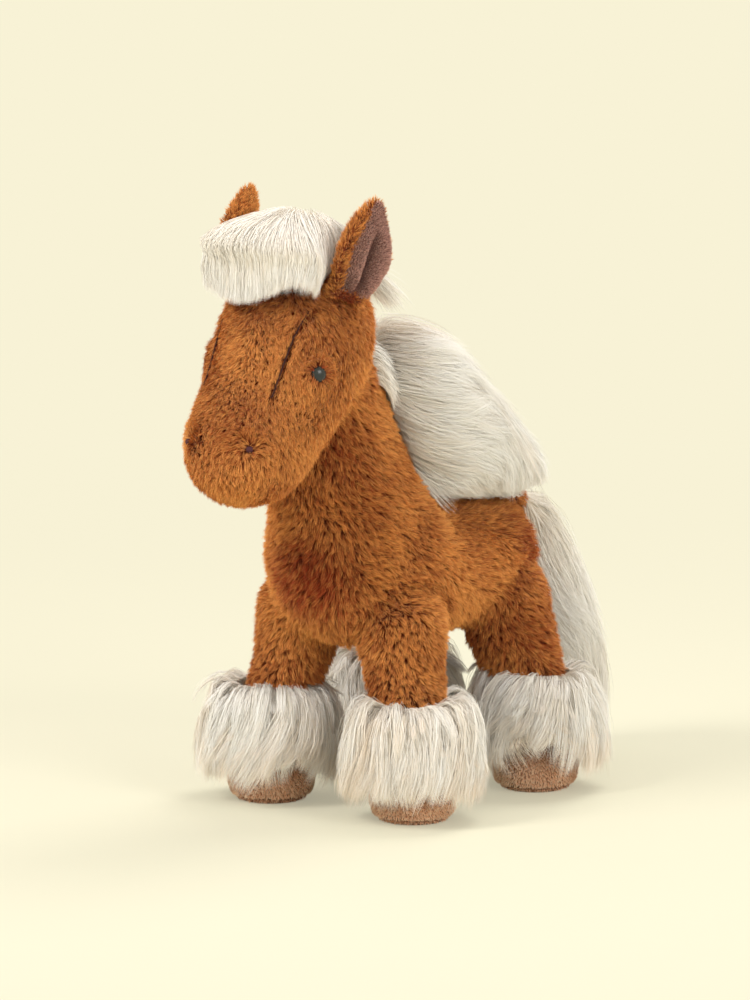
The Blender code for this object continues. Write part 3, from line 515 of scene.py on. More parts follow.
def dot(first, second):
    """The dot product of each pair of rows, as a column."""
    return (first * second).sum(-1, keepdims=True)


def ramp(values, start, stop):
    """A smooth rise from zero at start to one at stop."""
    t = np.clip((values - start) / (stop - start), 0, 1)
    return t * t * (3 - 2 * t)


def waves(points, size, seed, count=7):
    """A smooth field between about -1 and 1 whose bumps are about size across."""
    random = np.random.default_rng(seed)
    turns = unit(random.normal(size=(count, 3))) * random.uniform(0.6, 1.5, (count, 1)) * math.pi / size
    phases = random.uniform(0, math.tau, count)
    return np.sin(points @ turns.T + phases).sum(1) / math.sqrt(count)


class Surface:
    """A triangulated surface that strands grow on or lie along."""

    def __init__(self, mesh):
        mesh.calc_loop_triangles()
        self.points = numbers(mesh.vertices, "co")
        self.normals = numbers(mesh.vertex_normals, "vector")
        self.triangles = numbers(mesh.loop_triangles, "vertices").astype(int)
        self.tree = BVHTree.FromPolygons(self.points.tolist(), self.triangles.tolist())
        corners = self.points[self.triangles]
        sides = np.cross(corners[:, 1] - corners[:, 0], corners[:, 2] - corners[:, 0])
        self.areas = np.linalg.norm(sides, axis=1) / 2

    def scatter(self, closeness, random):
        """Points spread evenly over the surface, with its normals there."""
        count = int(self.areas.sum() / MM**2 * closeness * (1))
        picked = random.choice(len(self.areas), count, p=self.areas / self.areas.sum())
        shares = random.dirichlet((1, 1, 1), count)[:, :, None]
        corners = self.triangles[picked]
        places = (self.points[corners] * shares).sum(1)
        return places, unit((self.normals[corners] * shares).sum(1))

    def nearest(self, points):
        """The nearest places, the normals there, and how far the points stand outside."""
        places = np.empty_like(points)
        normals = np.empty_like(points)
        find = self.tree.find_nearest
        for index, point in enumerate(points.tolist()):
            place, normal, _, _ = find(point)
            places[index] = place
            normals[index] = normal
        away = points - places
        outside = np.where(dot(away, normals)[:, 0] < 0, -1, 1) * np.linalg.norm(away, axis=1)
        return places, normals, outside

    def holds(self, points, margin=0.0):
        """Which points lie inside the surface by more than the margin."""
        low = self.points.min(0)
        high = self.points.max(0)
        near = ((points > low) & (points < high)).all(1)
        inside = np.zeros(len(points), bool)
        if near.any():
            inside[near] = self.nearest(points[near])[2] < -margin
        return inside


def add_object(name, mesh, material=None):
    """A piece in the scene."""
    obj = bpy.data.objects.new(name, mesh)
    bpy.context.scene.collection.objects.link(obj)
    if material:
        mesh.materials.clear()
        mesh.materials.append(material)
    return obj


def as_mesh(name, bm):
    """A smooth mesh from the working one."""
    bmesh.ops.recalc_face_normals(bm, faces=bm.faces)
    mesh = bpy.data.meshes.new(name)
    bm.to_mesh(mesh)
    bm.free()
    mesh.shade_smooth()
    return mesh


def joined_nodes(name, nodes):
    """One mesh of several CAD nodes."""
    bm = bmesh.new()
    for node in nodes:
        bm.from_mesh(frame["nodes"][node].data)
    bmesh.ops.remove_doubles(bm, verts=bm.verts, dist=WELD)
    return as_mesh(name, bm)


def remeshed(name, mesh, voxel):
    """The mesh's outer form in even small faces."""
    obj = add_object(name + "_raw", mesh)
    modifier = obj.modifiers.new("voxels", "REMESH")
    modifier.mode = "VOXEL"
    modifier.voxel_size = voxel
    shape = obj.evaluated_get(bpy.context.evaluated_depsgraph_get())
    result = bpy.data.meshes.new_from_object(shape)
    result.name = name
    bpy.data.objects.remove(obj)
    return outermost(result)


def outermost(mesh):
    """The mesh without the small loose forms left inside it."""
    bm = bmesh.new()
    bm.from_mesh(mesh)
    waiting = set(bm.verts)
    islands = []
    while waiting:
        front = [waiting.pop()]
        island = list(front)
        while front:
            vert = front.pop()
            for edge in vert.link_edges:
                other = edge.other_vert(vert)
                if other in waiting:
                    waiting.discard(other)
                    front.append(other)
                    island.append(other)
        islands.append(island)
    islands.sort(key=len)
    loose = [vert for island in islands[:-1] for vert in island]
    bmesh.ops.delete(bm, geom=loose, context="VERTS")
    bm.to_mesh(mesh)
    bm.free()
    mesh.shade_smooth()
    return mesh


def neighbour_mean(mesh, values):
    """Each vertex's mean of the values at the ends of its edges."""
    edges = numbers(mesh.edges, "vertices", 2).astype(int)
    ends = np.concatenate((edges[:, 0], edges[:, 1]))
    others = np.concatenate((edges[:, 1], edges[:, 0]))
    count = len(mesh.vertices)
    totals = [np.bincount(ends, column, count) for column in values[others].T]
    return np.stack(totals, 1) / np.maximum(np.bincount(ends, minlength=count), 1)[:, None]


def set_points(mesh, points):
    """Put the vertices where the rows say."""
    mesh.vertices.foreach_set("co", points.ravel())
    mesh.update()


def relaxed(mesh, times, share=0.5):
    """The mesh with its bumps eased out."""
    points = numbers(mesh.vertices, "co")
    for _ in range(times):
        points += (neighbour_mean(mesh, points) - points) * share
    set_points(mesh, points)
    return mesh


def uneven(mesh, points, size, depth, seed):
    """The points moved in and out along the mesh's normals in smooth bumps."""
    return points + numbers(mesh.vertex_normals, "vector") * waves(points, size, seed)[:, None] * depth


def stuffed_cover(name, nodes, whole, depth, shallow):
    """The cloth under the pile: the nodes' form, set in where it is the toy's outside, but
    less round the shallow places."""
    mesh = relaxed(remeshed(name, joined_nodes(name, nodes), COVER_VOXEL), times=2)
    points = uneven(mesh, numbers(mesh.vertices, "co"), COVER_WAVE, COVER_UNEVENNESS, 5)
    outside = whole.nearest(points)[2]
    share = (1 - ramp(-outside, JOINT_DEPTH, 2 * JOINT_DEPTH))[:, None]
    for place in shallow:
        away = np.linalg.norm(points - place, axis=1)
        share *= 1 - SHALLOW_SHARE * (1 - ramp(away, *SHALLOW_REACH))[:, None]
    for _ in range(3):
        share += (neighbour_mean(mesh, share) - share) * 0.5
    for _ in range(2):
        points -= numbers(mesh.vertex_normals, "vector") * share * depth / 2
        set_points(mesh, points)
    return relaxed(mesh, times=2)


def ribbon_mesh(name, paths, across, widths, tones):
    """Flat tapered strands along the paths, mapped so that a strand's tone lies across its
    map and the way to its tip lies up it."""
    count, levels, _ = paths.shape
    sides = across * (widths[None, :, None] / 2)
    left = paths - sides
    right = paths + sides
    pairs = np.stack((left, right), 2)[:, :-1].reshape(count, -1, 3)
    verts = np.concatenate((pairs, paths[:, -1:]), 1)
    per_strand = verts.shape[1]
    pattern = []
    for level in range(levels - 2):
        base = 2 * level
        pattern += [base, base + 1, base + 3, base + 2]
    tip = per_strand - 1
    pattern += [tip - 2, tip - 1, tip]
    loops = (np.arange(count)[:, None] * per_strand + np.array(pattern)).ravel()
    totals = np.tile([4] * (levels - 2) + [3], count)
    mesh = bpy.data.meshes.new(name)
    mesh.vertices.add(count * per_strand)
    mesh.loops.add(len(loops))
    mesh.polygons.add(len(totals))
    mesh.vertices.foreach_set("co", verts.ravel())
    mesh.loops.foreach_set("vertex_index", loops)
    mesh.polygons.foreach_set("loop_start", np.concatenate(([0], np.cumsum(totals)[:-1])))
    mesh.update(calc_edges=True)
    heights = np.linspace(MAP_MARGIN, 1 - MAP_MARGIN, levels)
    up_map = np.concatenate((np.repeat(heights[:-1], 2), heights[-1:]))
    side_map = np.concatenate((np.tile([-1.0, 1.0], levels - 1), [0.0]))
    u = np.clip(tones, TONE_MARGIN, 1 - TONE_MARGIN)[:, None] + side_map[None, :] * MAP_HALF_WIDTH
    places = np.stack((u, np.broadcast_to(up_map, u.shape)), 2).reshape(-1, 2)
    layer = mesh.uv_layers.new(name=STRAND_MAP)
    layer.data.foreach_set("uv", places[loops].ravel())
    mesh.shade_smooth()
    return mesh


def add_strands(name, body, material, strands):
    """One or more pieces that hold the strands, all riding on a body."""
    paths, across, widths, tones = strands
    triangles = 2 * paths.shape[1] - 3
    most = MOST_TRIANGLES // triangles
    parts = max(1, math.ceil(len(paths) / most))
    made = []
    for part in range(parts):
        label = name if parts == 1 else f"{name}_{part + 1}"
        chosen = slice(part, None, parts)
        mesh = ribbon_mesh(label, paths[chosen], across[chosen], widths, tones[chosen])
        piece = add_object(label, mesh, material)
        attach(piece, body)
        made.append(piece)
    return made


def lock_of(roots, spacing, random):
    """For each root, the strand in whose lock it lies."""
    cells = np.unique(np.floor(roots / spacing).astype(int), axis=0, return_index=True)[1]
    guides = random.permutation(cells)
    tree = KDTree(len(guides))
    for place, guide in enumerate(guides.tolist()):
        tree.insert(roots[guide], place)
    tree.balance()
    noisy = roots + random.normal(size=roots.shape) * spacing * LOCK_NOISE_SHARE
    found = [tree.find(point)[1] for point in noisy]
    return guides[found]


def gathered(paths, guides, shares, pull, power=1.4):
    """The strands drawn towards the middle of their lock, most at the tip."""
    draw = (pull * shares**power)[None, :, None]
    return paths + (paths[guides] - paths) * draw


def turned_about(vectors, axes, angles):
    """Vectors square to their axes, turned about them."""
    return vectors * np.cos(angles) + np.cross(axes, vectors) * np.sin(angles)


def pile_strands(roots, normals, rule, length, settings, random, seed, fineness=1.0):
    """Short strands that lean along a flow, gathered in tufts, smaller and looser where finer."""
    flow, shares, tone = rule(roots, normals)
    flow = flow - normals * dot(flow, normals)
    force = np.clip(np.linalg.norm(flow, axis=1, keepdims=True), *PILE_FORCES)
    flow = unit(flow)
    guides = lock_of(roots, settings.tuft_spacing / fineness, random)
    own = random.uniform(-1, 1, (len(roots), 4))
    tuft = own[guides]
    by_wave, by_tuft, by_strand = PILE_SWIRL
    swirl = by_wave * waves(roots, PILE_SWIRL_WAVE, seed)[:, None]
    swirl = swirl + by_tuft * tuft[:, :1] + by_strand * own[:, 1:2]
    flow = turned_about(flow, normals, swirl)
    lean = 1 + PILE_LEAN_SHARE * (tuft[:, 1:2] + own[:, 2:3])
    lengths = length * shares[:, None] * (1 + PILE_LENGTH_SHARE * (tuft[:, 2:3] + own[:, 3:4]))
    steps = np.array(PILE_LEVELS)
    path = [roots]
    for start, stop in zip(steps[:-1], steps[1:]):
        middle = (start + stop) / 2
        angle = (settings.root_lean + (settings.tip_lean - settings.root_lean) * middle) * lean * force
        angle = np.clip(angle, *PILE_LEANS)
        heading = normals * np.cos(angle) + flow * np.sin(angle)
        path.append(path[-1] + heading * lengths * (stop - start))
    paths = gathered(np.stack(path, 1), guides, steps, settings.pull / fineness)
    side = np.cross(normals, flow)
    heading = unit(paths[:, -1] - paths[:, 0])
    twist = random.uniform(-PILE_TWIST, PILE_TWIST, (len(roots), 1))
    across = unit(side * np.cos(twist) + np.cross(heading, side) * np.sin(twist))
    across = np.repeat(across[:, None], len(steps), 1)
    by_wave, by_tuft, by_strand = PILE_TONES
    tones = PILE_TONE + tone + by_wave * waves(roots, PILE_TONE_WAVE, seed + 1)
    tones = tones + by_tuft * tuft[:, 3] + by_strand * own[:, 0]
    return paths, across, settings.strand_width * np.array(PILE_WIDTHS), tones


def grow_pile(name, body, skin, rule, length, seed, whole, hair_forms, fineness=1.0):
    """The pile of one cover, left out inside the joints and under the long hair."""
    settings = bpy.context.scene.horse_pile
    random = np.random.default_rng(seed)
    roots, normals = skin.scatter(settings.closeness * math.sqrt(fineness), random)
    keep = whole.nearest(roots)[2] > -(settings.backing_depth + JOINT_DEPTH)
    tips = roots + normals * settings.backing_depth
    for form in hair_forms:
        keep &= ~form.holds(tips + normals * HAIR_CLEARANCE)
    roots = roots[keep]
    normals = normals[keep]
    strands = pile_strands(roots, normals, rule, length, settings, random, seed, fineness)
    return add_strands(name, body, material_named("brown_pile"), strands)


def joint_place(name):
    """A joint's place at rest."""
    found = [joint for joint in frame["joints"] if joint["name"] == name]
    return np.array(found[0]["pos_m"])


def node_middle(name):
    """The middle of a CAD node's box."""
    low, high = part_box(name)
    return np.array((low + high) / 2)


def trunk_rule(roots, normals):
    """Down and back over the trunk, spreading from the chest, with painted shade in the chest's middle, on
    the haunch and on the throat.
    """
    x, y, z = roots.T
    flow = np.stack((x * TRUNK_SPREAD, np.full(len(x), TRUNK_FLOW_BACK), np.full(len(x), TRUNK_FLOW_UP)), 1)
    neck = joint_place("head_turn")
    breast = neck + BREAST_FROM_NECK
    dark = 1 - ramp(np.linalg.norm(roots - breast, axis=1), *BREAST_REACH)
    haunch = ramp(y, *HAUNCH_REAR) * (1 - ramp(z, *HAUNCH_TOP))
    throat = ramp(-y, *THROAT_FRONT) * ramp(z, *THROAT_BOTTOM)
    # Painted shade: darker in the chest's middle, on the haunch and on the throat under the head.
    tone = TRUNK_TONE - BREAST_SHADE * dark - HAUNCH_SHADE * haunch - THROAT_SHADE * throat
    shares = 1 - NECK_SHORTER * ramp(z, neck[2] - NECK_FADE, neck[2])
    nape = ramp(z - neck[2], *NAPE_HEIGHTS) * ramp(y - neck[1], *NAPE_DEPTHS)
    return flow, shares * (1 - NAPE_SHORTER * nape), tone


def head_rule(roots, normals):
    """Down the face, spreading round the nostrils and the eyes and parted along the seams, with painted shade
    round eyes and nostrils and in the partings.
    """
    nose = (node_middle("left_nostril") + node_middle("right_nostril")) / 2
    reach = np.linalg.norm(roots - nose, axis=1)
    flow = np.broadcast_to(HEAD_FLOW, roots.shape).copy()
    shares = NOSE_PILE_SHARE + NOSE_PILE_RISE * ramp(reach, *NOSE_PILE_REACH)
    tone = HEAD_TONE - MUZZLE_DARKER * (1 - ramp(reach, *MUZZLE_REACH))
    for side_name, side in SIDES:
        for ending, (clear, wide, cut) in (("_eye", EYE_WHORL), ("_nostril", NOSTRIL_WHORL)):
            gap = roots - node_middle(side_name + ending)
            gap_length = np.linalg.norm(gap, axis=1)
            near = 1 - ramp(gap_length, clear, wide)
            flow = flow * (1 - near[:, None]) + unit(gap) * near[:, None] * WHORL_FORCE
            close = 1 - ramp(gap_length, clear, clear * 3)
            shares *= 1 - cut * close
            shares[gap_length < clear] = BARE_SHARE
            # Painted shade: darker round each eye and, less, each nostril, by twice the share the pile is
            # shorter.
            tone = tone - cut * 2 * close
        off, along = seam_offset(roots, side)
        near = (1 - ramp(np.abs(off), *SEAM_PARTING)) * along
        flow[:, 0] += np.sign(off) * near * SEAM_PARTING_FORCE * side
        # Along the seam the pile is shorter and darker, as painted shade in the parting.
        deep = (1 - ramp(np.abs(off), *SEAM_DEEP)) * along
        shares *= 1 - SEAM_SHORTER * deep
        tone = tone - SEAM_SHADE * deep
    return flow * HEAD_FORCE, shares, tone


def seam_offset(points, side):
    """How far points lie beside the seam between forehead and cheek, and where it shows."""
    eye = node_middle(("left" if side > 0 else "right") + "_eye")
    height = points[:, 2] - eye[2]
    line = np.interp(height, SEAM_HEIGHTS, SEAM_SIDES)
    off = points[:, 0] * side - line
    along = ramp(height, SEAM_HEIGHTS[0] - SEAM_FADE, SEAM_HEIGHTS[0])
    along *= 1 - ramp(height, SEAM_HEIGHTS[-1], SEAM_HEIGHTS[-1] + SEAM_FADE)
    front = 1 - ramp(points[:, 1] - eye[1], *SEAM_REAR)
    return off, along * front * (points[:, 0] * side > 0)


def leg_rule(name):
    """Down a leg and out from its middle."""
    hip = joint_place(name + "_swing")
    foot = node_middle(name + "_sole")
    shade = SHADED_LEG_DARKER if name == SHADED_LEG else 0.0

    def rule(roots, normals):
        share = np.clip((hip[2] - roots[:, 2:3]) / hip[2], 0, 1)
        middle = hip + (foot - hip) * share
        out = unit((roots - middle) * LEVEL)
        top = ramp(roots[:, 2:3] - hip[2], *LEG_TOP)
        body_flow, _, body_tone = trunk_rule(roots, normals)
        flow = (out * LEG_SPREAD + LEG_FLOW) * (1 - top) + body_flow * top * LEG_TOP_FORCE
        thigh = ramp(roots[:, 1], *THIGH_FRONT) * ramp(roots[:, 2], *THIGH_BOTTOM)
        ankle = 1 - ramp(roots[:, 2], *ANKLE_HEIGHTS)
        # Painted shade: the trunk's tone with its shade at a share, darker on the thigh and over the shaded
        # leg.
        tone = body_tone * LEG_BODY_TONE_SHARE - THIGH_SHADE * thigh - ANKLE_DARKER * ankle - shade
        return flow, np.ones(len(roots)), tone

    return rule


def hoof_rule(roots, normals):
    """Down a hoof."""
    flow = np.broadcast_to(HOOF_FLOW, roots.shape)
    return flow, np.ones(len(roots)), np.full(len(roots), HOOF_TONE)


def ear_axes(side_name):
    """An ear's base, and as rows its directions to the rear rim, to the tip and out of its hollow."""
    joint = [found for found in frame["joints"] if found["name"] == side_name + "_ear_fold"][0]
    base = np.array(joint["pos_m"])
    across = unit(np.array(joint["axis"]))
    if across[1] < 0:
        across = -across
    points = numbers(frame["nodes"][side_name + "_ear_back"].data.vertices, "co")
    tip = points[points[:, 2] > points[:, 2].max() - EAR_TIP_DEPTH].mean(0)
    up = tip - base
    up = unit(up - across * (up @ across))
    hollow = np.cross(across, up)
    hollow = hollow * np.sign(hollow[0] * base[0])
    return base, np.stack((across, up, hollow))


def ear_half(heights):
    """Half of an ear's width at heights above its base."""
    return EAR_HALF * np.interp(heights / EAR_HEIGHT, *EAR_OUTLINE_SHARES)


def ear_rule(side_name):
    """Up an ear and out past its rim, shorter and darker as painted shade where the back is folded at the
    base.
    """
    base, axes = ear_axes(side_name)

    def rule(roots, normals):
        local = (roots - base) @ axes.T
        flow = axes[1] * 0.9 + axes[0] * np.clip(local[:, :1] / EAR_HALF, -1, 1) * 0.6
        half = FOLD_TIP_HALF + FOLD_WIDENING * (1 - ramp(local[:, 1], *FOLD_NARROWS))
        fold = 1 - ramp(np.abs(local[:, 0]), FOLD_HALF, half)
        fold *= 1 - ramp(local[:, 1], *FOLD_ENDS)
        # Painted shade: the fold's pile is darker, as well as shorter.
        return flow, 0.9 - 0.35 * fold, 0.12 - 0.75 * fold

    return rule


def lining_rule(side_name):
    """Short nap over the lining, shorter in its crease, with painted shade in the crease and towards the
    ear's base.
    """
    base, axes = ear_axes(side_name)

    def rule(roots, normals):
        local = (roots - base) @ axes.T
        flow = axes[1] * 0.5 + axes[0] * local[:, :1] / EAR_HALF
        crease = 1 - ramp(np.abs(local[:, 0] - CREASE_MIDDLE), *CREASE_SIDES)
        crease *= 1 - ramp(local[:, 1], *CREASE_ENDS)
        base_shade = 1 - ramp(local[:, 1], *LINING_SHADE)
        # Painted shade: darker in the crease and towards the ear's base.
        return flow, 1 - 0.4 * crease, 0.12 - 0.80 * crease - 0.30 * base_shade

    return rule


def laid_strands(form, roots, normals, flow_at, lengths, lift, settings, random, seed,
                 hold=0.9, wander=1.0, pull=0.5, loose=0.0, steps=6, leave=3, free=-1.0):
    """Long strands that lie along a form in locks, and leave it towards their tips and below
    the height where they hang free."""
    shares = np.linspace(0, 1, steps)
    guides = lock_of(roots, settings.lock_spacing, random)
    own = random.uniform(-1, 1, (len(roots), 5))
    lock = own[guides]
    by_wave, by_lock, by_strand = HAIR_SWIRL
    swirl = by_wave * waves(roots, HAIR_SWIRL_WAVE, seed)[:, None]
    swirl = swirl + by_lock * lock[:, :1] + by_strand * own[:, 1:2]
    height = (0.5 + 0.5 * own[:, 2:3]) * HAIR_LAYER
    stray = loose * np.abs(own[:, 4:5]) ** 3
    place = roots.copy()
    normal = normals.copy()
    path = [place]
    for share in shares[1:]:
        flow = flow_at(place, share)
        held = ramp(place[:, 2:3], free, free + FREE_DEPTH)
        flow = unit(flow - normal * dot(flow, normal) * held)
        flow = turned_about(flow, normal, swirl * wander * (0.5 + share) * (0.3 + 0.7 * held))
        place = place + flow * lengths[:, None] / (steps - 1)
        on_form, found, _ = form.nearest(place)
        target = on_form + found * (height + lift(share, lock, own) + stray * share**1.5)
        grip = hold * (1 - share**leave) * held
        place = place + (target - place) * grip
        normal = unit(normal + found * (0.2 + grip))
        path.append(place)
    paths = gathered(np.stack(path, 1), guides, shares, pull)
    across = strand_sides(paths, normals, random)
    by_wave, by_lock, by_strand = HAIR_TONES
    tones = HAIR_TONE + by_lock * lock[:, 3] + by_strand * own[:, 0]
    tones = tones + by_wave * waves(roots, HAIR_TONE_WAVE, seed + 1)
    return paths, across, settings.strand_width * np.interp(shares, *HAIR_WIDTHS), tones


def cut_below(paths, ends):
    """The strands cut off where they first pass below their ends, in as many steps."""
    count, levels, _ = paths.shape
    rows = np.arange(count)
    low = paths[..., 2] < ends[:, None]
    first = np.where(low.any(1), low.argmax(1), levels - 1)
    before = np.maximum(first - 1, 0)
    above = paths[rows, before, 2] - ends
    drop = np.maximum(paths[rows, before, 2] - paths[rows, first, 2], SMALL_DIVISOR)
    part = np.where(low.any(1), np.clip(above / drop, 0, 1), 1)
    reach = np.maximum(before + part, SHORTEST_CUT)
    at = np.linspace(0, 1, levels)[None, :] * reach[:, None]
    index = np.minimum(at.astype(int), levels - 2)
    share = (at - index)[..., None]
    return paths[rows[:, None], index] * (1 - share) + paths[rows[:, None], index + 1] * share


def strand_sides(paths, outward, random):
    """The way across each strand's ribbon, square to its path and turned by chance."""
    tangents = unit(np.gradient(paths, axis=1))
    side = unit(np.cross(tangents, outward[:, None]) + SMALL_DIVISOR)
    twist = random.uniform(-HAIR_TWIST, HAIR_TWIST, (len(paths), 1, 1))
    return unit(side * np.cos(twist) + np.cross(tangents, side) * np.sin(twist))


def round_places(middle, radius, height, angle):
    """Places round an upright line through the middle, by radius, height and angle."""
    out = np.stack((np.cos(angle), np.sin(angle), np.zeros(len(angle))), 1)
    return middle * LEVEL + out * radius[:, None] + UP * height[:, None]


def feather_strands(middle, top, settings, random, seed, bare_at, bare_depth):
    """The drooping strands of a foot's cuff. They start under the leg's pile, arch out and
    fall over the hoof, and are shorter where the hoof shows."""
    count = int(FEATHER_COUNT * (1))
    own = random.uniform(-1, 1, (count, 7))
    turn = random.uniform(0, math.tau, count)
    level = random.uniform(0, 1, count) ** 1.2
    start_z = top - FEATHER_START_DROP - FEATHER_START_DEPTH * level
    start_r = FEATHER_START_RADIUS + FEATHER_START_WIDENING * level
    root = round_places(middle, start_r, start_z, turn)
    guides = lock_of(root, settings.lock_spacing * FEATHER_LOCK_SHARE, random)
    lock = own[guides]
    by_wave, by_lock, by_strand = FEATHER_SWAY
    sway = by_lock * lock[:, 0] + by_strand * own[:, 1] + by_wave * waves(root, FEATHER_SWAY_WAVE, seed)
    by_wave, by_lock, by_strand = FEATHER_BEND
    bend = by_lock * lock[:, 2] + by_strand * own[:, 4] + by_wave * waves(root, FEATHER_BEND_WAVE, seed + 1)
    away = np.abs((turn - bare_at + math.pi) % math.tau - math.pi)
    bare = (1 - ramp(away, *np.radians(FEATHER_BARE_WIDTH))) * bare_depth
    end_z = FEATHER_END + bare + FEATHER_END_SPREAD * (lock[:, 1] + own[:, 2] + 2)
    end_z = end_z + FEATHER_UPPER_END * (1 - level)
    spread = FEATHER_RADIUS - FEATHER_RADIUS_BY_LOCK * lock[:, 2] - FEATHER_RADIUS_BY_STRAND * (own[:, 3] + 1)
    spread = spread - FEATHER_RADIUS_BY_LEVEL * level * (own[:, 4] + 1) / 2
    cut_by_lock, cut_by_strand = FEATHER_CUT
    cut = 1 - cut_by_lock * np.maximum(lock[:, 5], 0) - cut_by_strand * (own[:, 5] + 1) / 2
    flare = (1 - ramp(level, 0.0, 0.5)) * np.clip(0.3 + lock[:, 3], 0, 1.2)
    stray = np.maximum(own[:, 6] - 0.80, 0) * 5 * (1 - ramp(level, 0.15, 0.6))
    arch_out, arch_up = FEATHER_ARCH
    flare_out, flare_up = FEATHER_FLARE
    flare_middle, flare_low = FEATHER_FLARE_LOW
    stray_up, stray_middle, stray_out, stray_low = FEATHER_STRAY
    first_r = start_r + arch_out + flare_out * flare
    first_z = start_z + arch_up + flare_up * flare + stray_up * stray
    first = round_places(middle, first_r, first_z, turn + sway * 0.2)
    second_r = spread + FEATHER_OUT + stray_middle * stray
    second_z = (start_z + end_z) / 2 + flare_middle * flare
    second = round_places(middle, second_r, second_z, turn + sway * 0.7)
    third_r = spread - FEATHER_OUT * (1 + own[:, 5]) + stray_out * stray
    third_z = end_z + flare_low * flare + stray_low * stray
    third = round_places(middle, third_r, third_z, turn + sway + bend)
    shares = np.linspace(0, 1, 6)
    t = (shares[None, :] * cut[:, None])[:, :, None]
    paths = (1 - t) ** 3 * root[:, None] + 3 * (1 - t) ** 2 * t * first[:, None]
    paths = paths + 3 * (1 - t) * t**2 * second[:, None] + t**3 * third[:, None]
    out = np.stack((np.cos(turn), np.sin(turn), np.zeros(count)), 1)
    paths = paths + out[:, None] * ((1 - cut)[:, None] * shares[None, :] ** 2 * FEATHER_TUCK)[:, :, None]
    paths = gathered(paths, guides, shares, pull=FEATHER_PULL)
    by_wave, by_lock, by_strand, by_level = FEATHER_TONES
    # Painted shade: strands that start lower, under the outer ones, are darker.
    tones = FEATHER_TONE + by_lock * lock[:, 4] + by_strand * own[:, 0] - by_level * level
    tones = tones + by_wave * waves(root, HAIR_TONE_WAVE, seed + 2)
    widths = settings.strand_width * np.interp(shares, *HAIR_WIDTHS)
    return paths, strand_sides(paths, out, random), widths, tones


def node(tree, kind, **values):
    """A shader node with its settings."""
    made = tree.nodes.new(kind)
    for key, value in values.items():
        setattr(made, key, value)
    return made


def feed(tree, socket, value):
    """Link another socket to this one, or set its value."""
    if isinstance(value, bpy.types.NodeSocket):
        tree.links.new(value, socket)
    elif hasattr(value, "__len__"):
        socket.default_value = (*value, 1.0) if socket.type == "RGBA" else tuple(value)
    else:
        socket.default_value = value


def maths(tree, operation, first, second=0.0, clamp=False):
    """A sum, product or other step between two numbers."""
    made = node(tree, "ShaderNodeMath", operation=operation, use_clamp=clamp)
    feed(tree, made.inputs[0], first)
    feed(tree, made.inputs[1], second)
    return made.outputs[0]


def mixed(tree, share, first, second):
    """A colour between two."""
    made = node(tree, "ShaderNodeMix", data_type="RGBA")
    feed(tree, made.inputs[0], share)
    feed(tree, made.inputs[6], first)
    feed(tree, made.inputs[7], second)
    return made.outputs[2]


def between(tree, value, start, stop, low=0.0, high=1.0):
    """A smooth rise between two values."""
    made = node(tree, "ShaderNodeMapRange", interpolation_type="SMOOTHSTEP")
    for socket, number in zip(made.inputs, (value, start, stop, low, high)):
        feed(tree, socket, number)
    return made.outputs[0]


def noise(tree, place, scale, detail=2.0, roughness=0.5):
    """A cloudy value between zero and one."""
    made = node(tree, "ShaderNodeTexNoise")
    feed(tree, made.inputs["Vector"], place)
    made.inputs["Scale"].default_value = scale
    made.inputs["Detail"].default_value = detail
    made.inputs["Roughness"].default_value = roughness
    return made.outputs["Fac"]


def own_place(tree):
    """Places in the piece's own space."""
    return node(tree, "ShaderNodeTexCoord").outputs["Object"]


def group_named(name, inputs, outputs, build):
    """A shader group that several materials share, built once."""
    group = bpy.data.node_groups.get(name)
    if group:
        return group
    group = bpy.data.node_groups.new(name, "ShaderNodeTree")
    kinds = {"colour": "NodeSocketColor", "number": "NodeSocketFloat"}
    for label, kind in inputs:
        group.interface.new_socket(name=label, in_out="INPUT", socket_type=kinds[kind])
    for label, kind in outputs:
        group.interface.new_socket(name=label, in_out="OUTPUT", socket_type=kinds[kind])
    source = group.nodes.new("NodeGroupInput")
    result = group.nodes.new("NodeGroupOutput")
    build(group, source.outputs, result.inputs)
    return group


def strand_colour_group():
    """The colour along and across strands: dark root, mixed tips and fine streaks."""

    def build(tree, given, result):
        place = node(tree, "ShaderNodeUVMap", uv_map=STRAND_MAP).outputs["UV"]
        split = node(tree, "ShaderNodeSeparateXYZ")
        tree.links.new(place, split.inputs[0])
        tone = split.outputs["X"]
        along = split.outputs["Y"]
        stretched = node(tree, "ShaderNodeCombineXYZ")
        feed(tree, stretched.inputs["X"], maths(tree, "MULTIPLY", tone, 60.0))
        feed(tree, stretched.inputs["Y"], maths(tree, "MULTIPLY", along, 1.5))
        streak = maths(tree, "SUBTRACT", noise(tree, stretched.outputs[0], 1.0), 0.5)
        tone_sum = maths(tree, "ADD", tone, maths(tree, "MULTIPLY", streak, given["Streaks"]), True)
        tips = mixed(tree, tone_sum, given["Dark"], given["Light"])
        rise = between(tree, along, 0.0, 1.0)
        shifted = maths(tree, "POWER", rise, given["Root Reach"], True)
        tree.links.new(mixed(tree, shifted, given["Root"], tips), result["Colour"])

    inputs = (("Root", "colour"), ("Dark", "colour"), ("Light", "colour"), ("Streaks", "number"),
              ("Root Reach", "number"))
    return group_named("strand_colour", inputs, (("Colour", "colour"),), build)


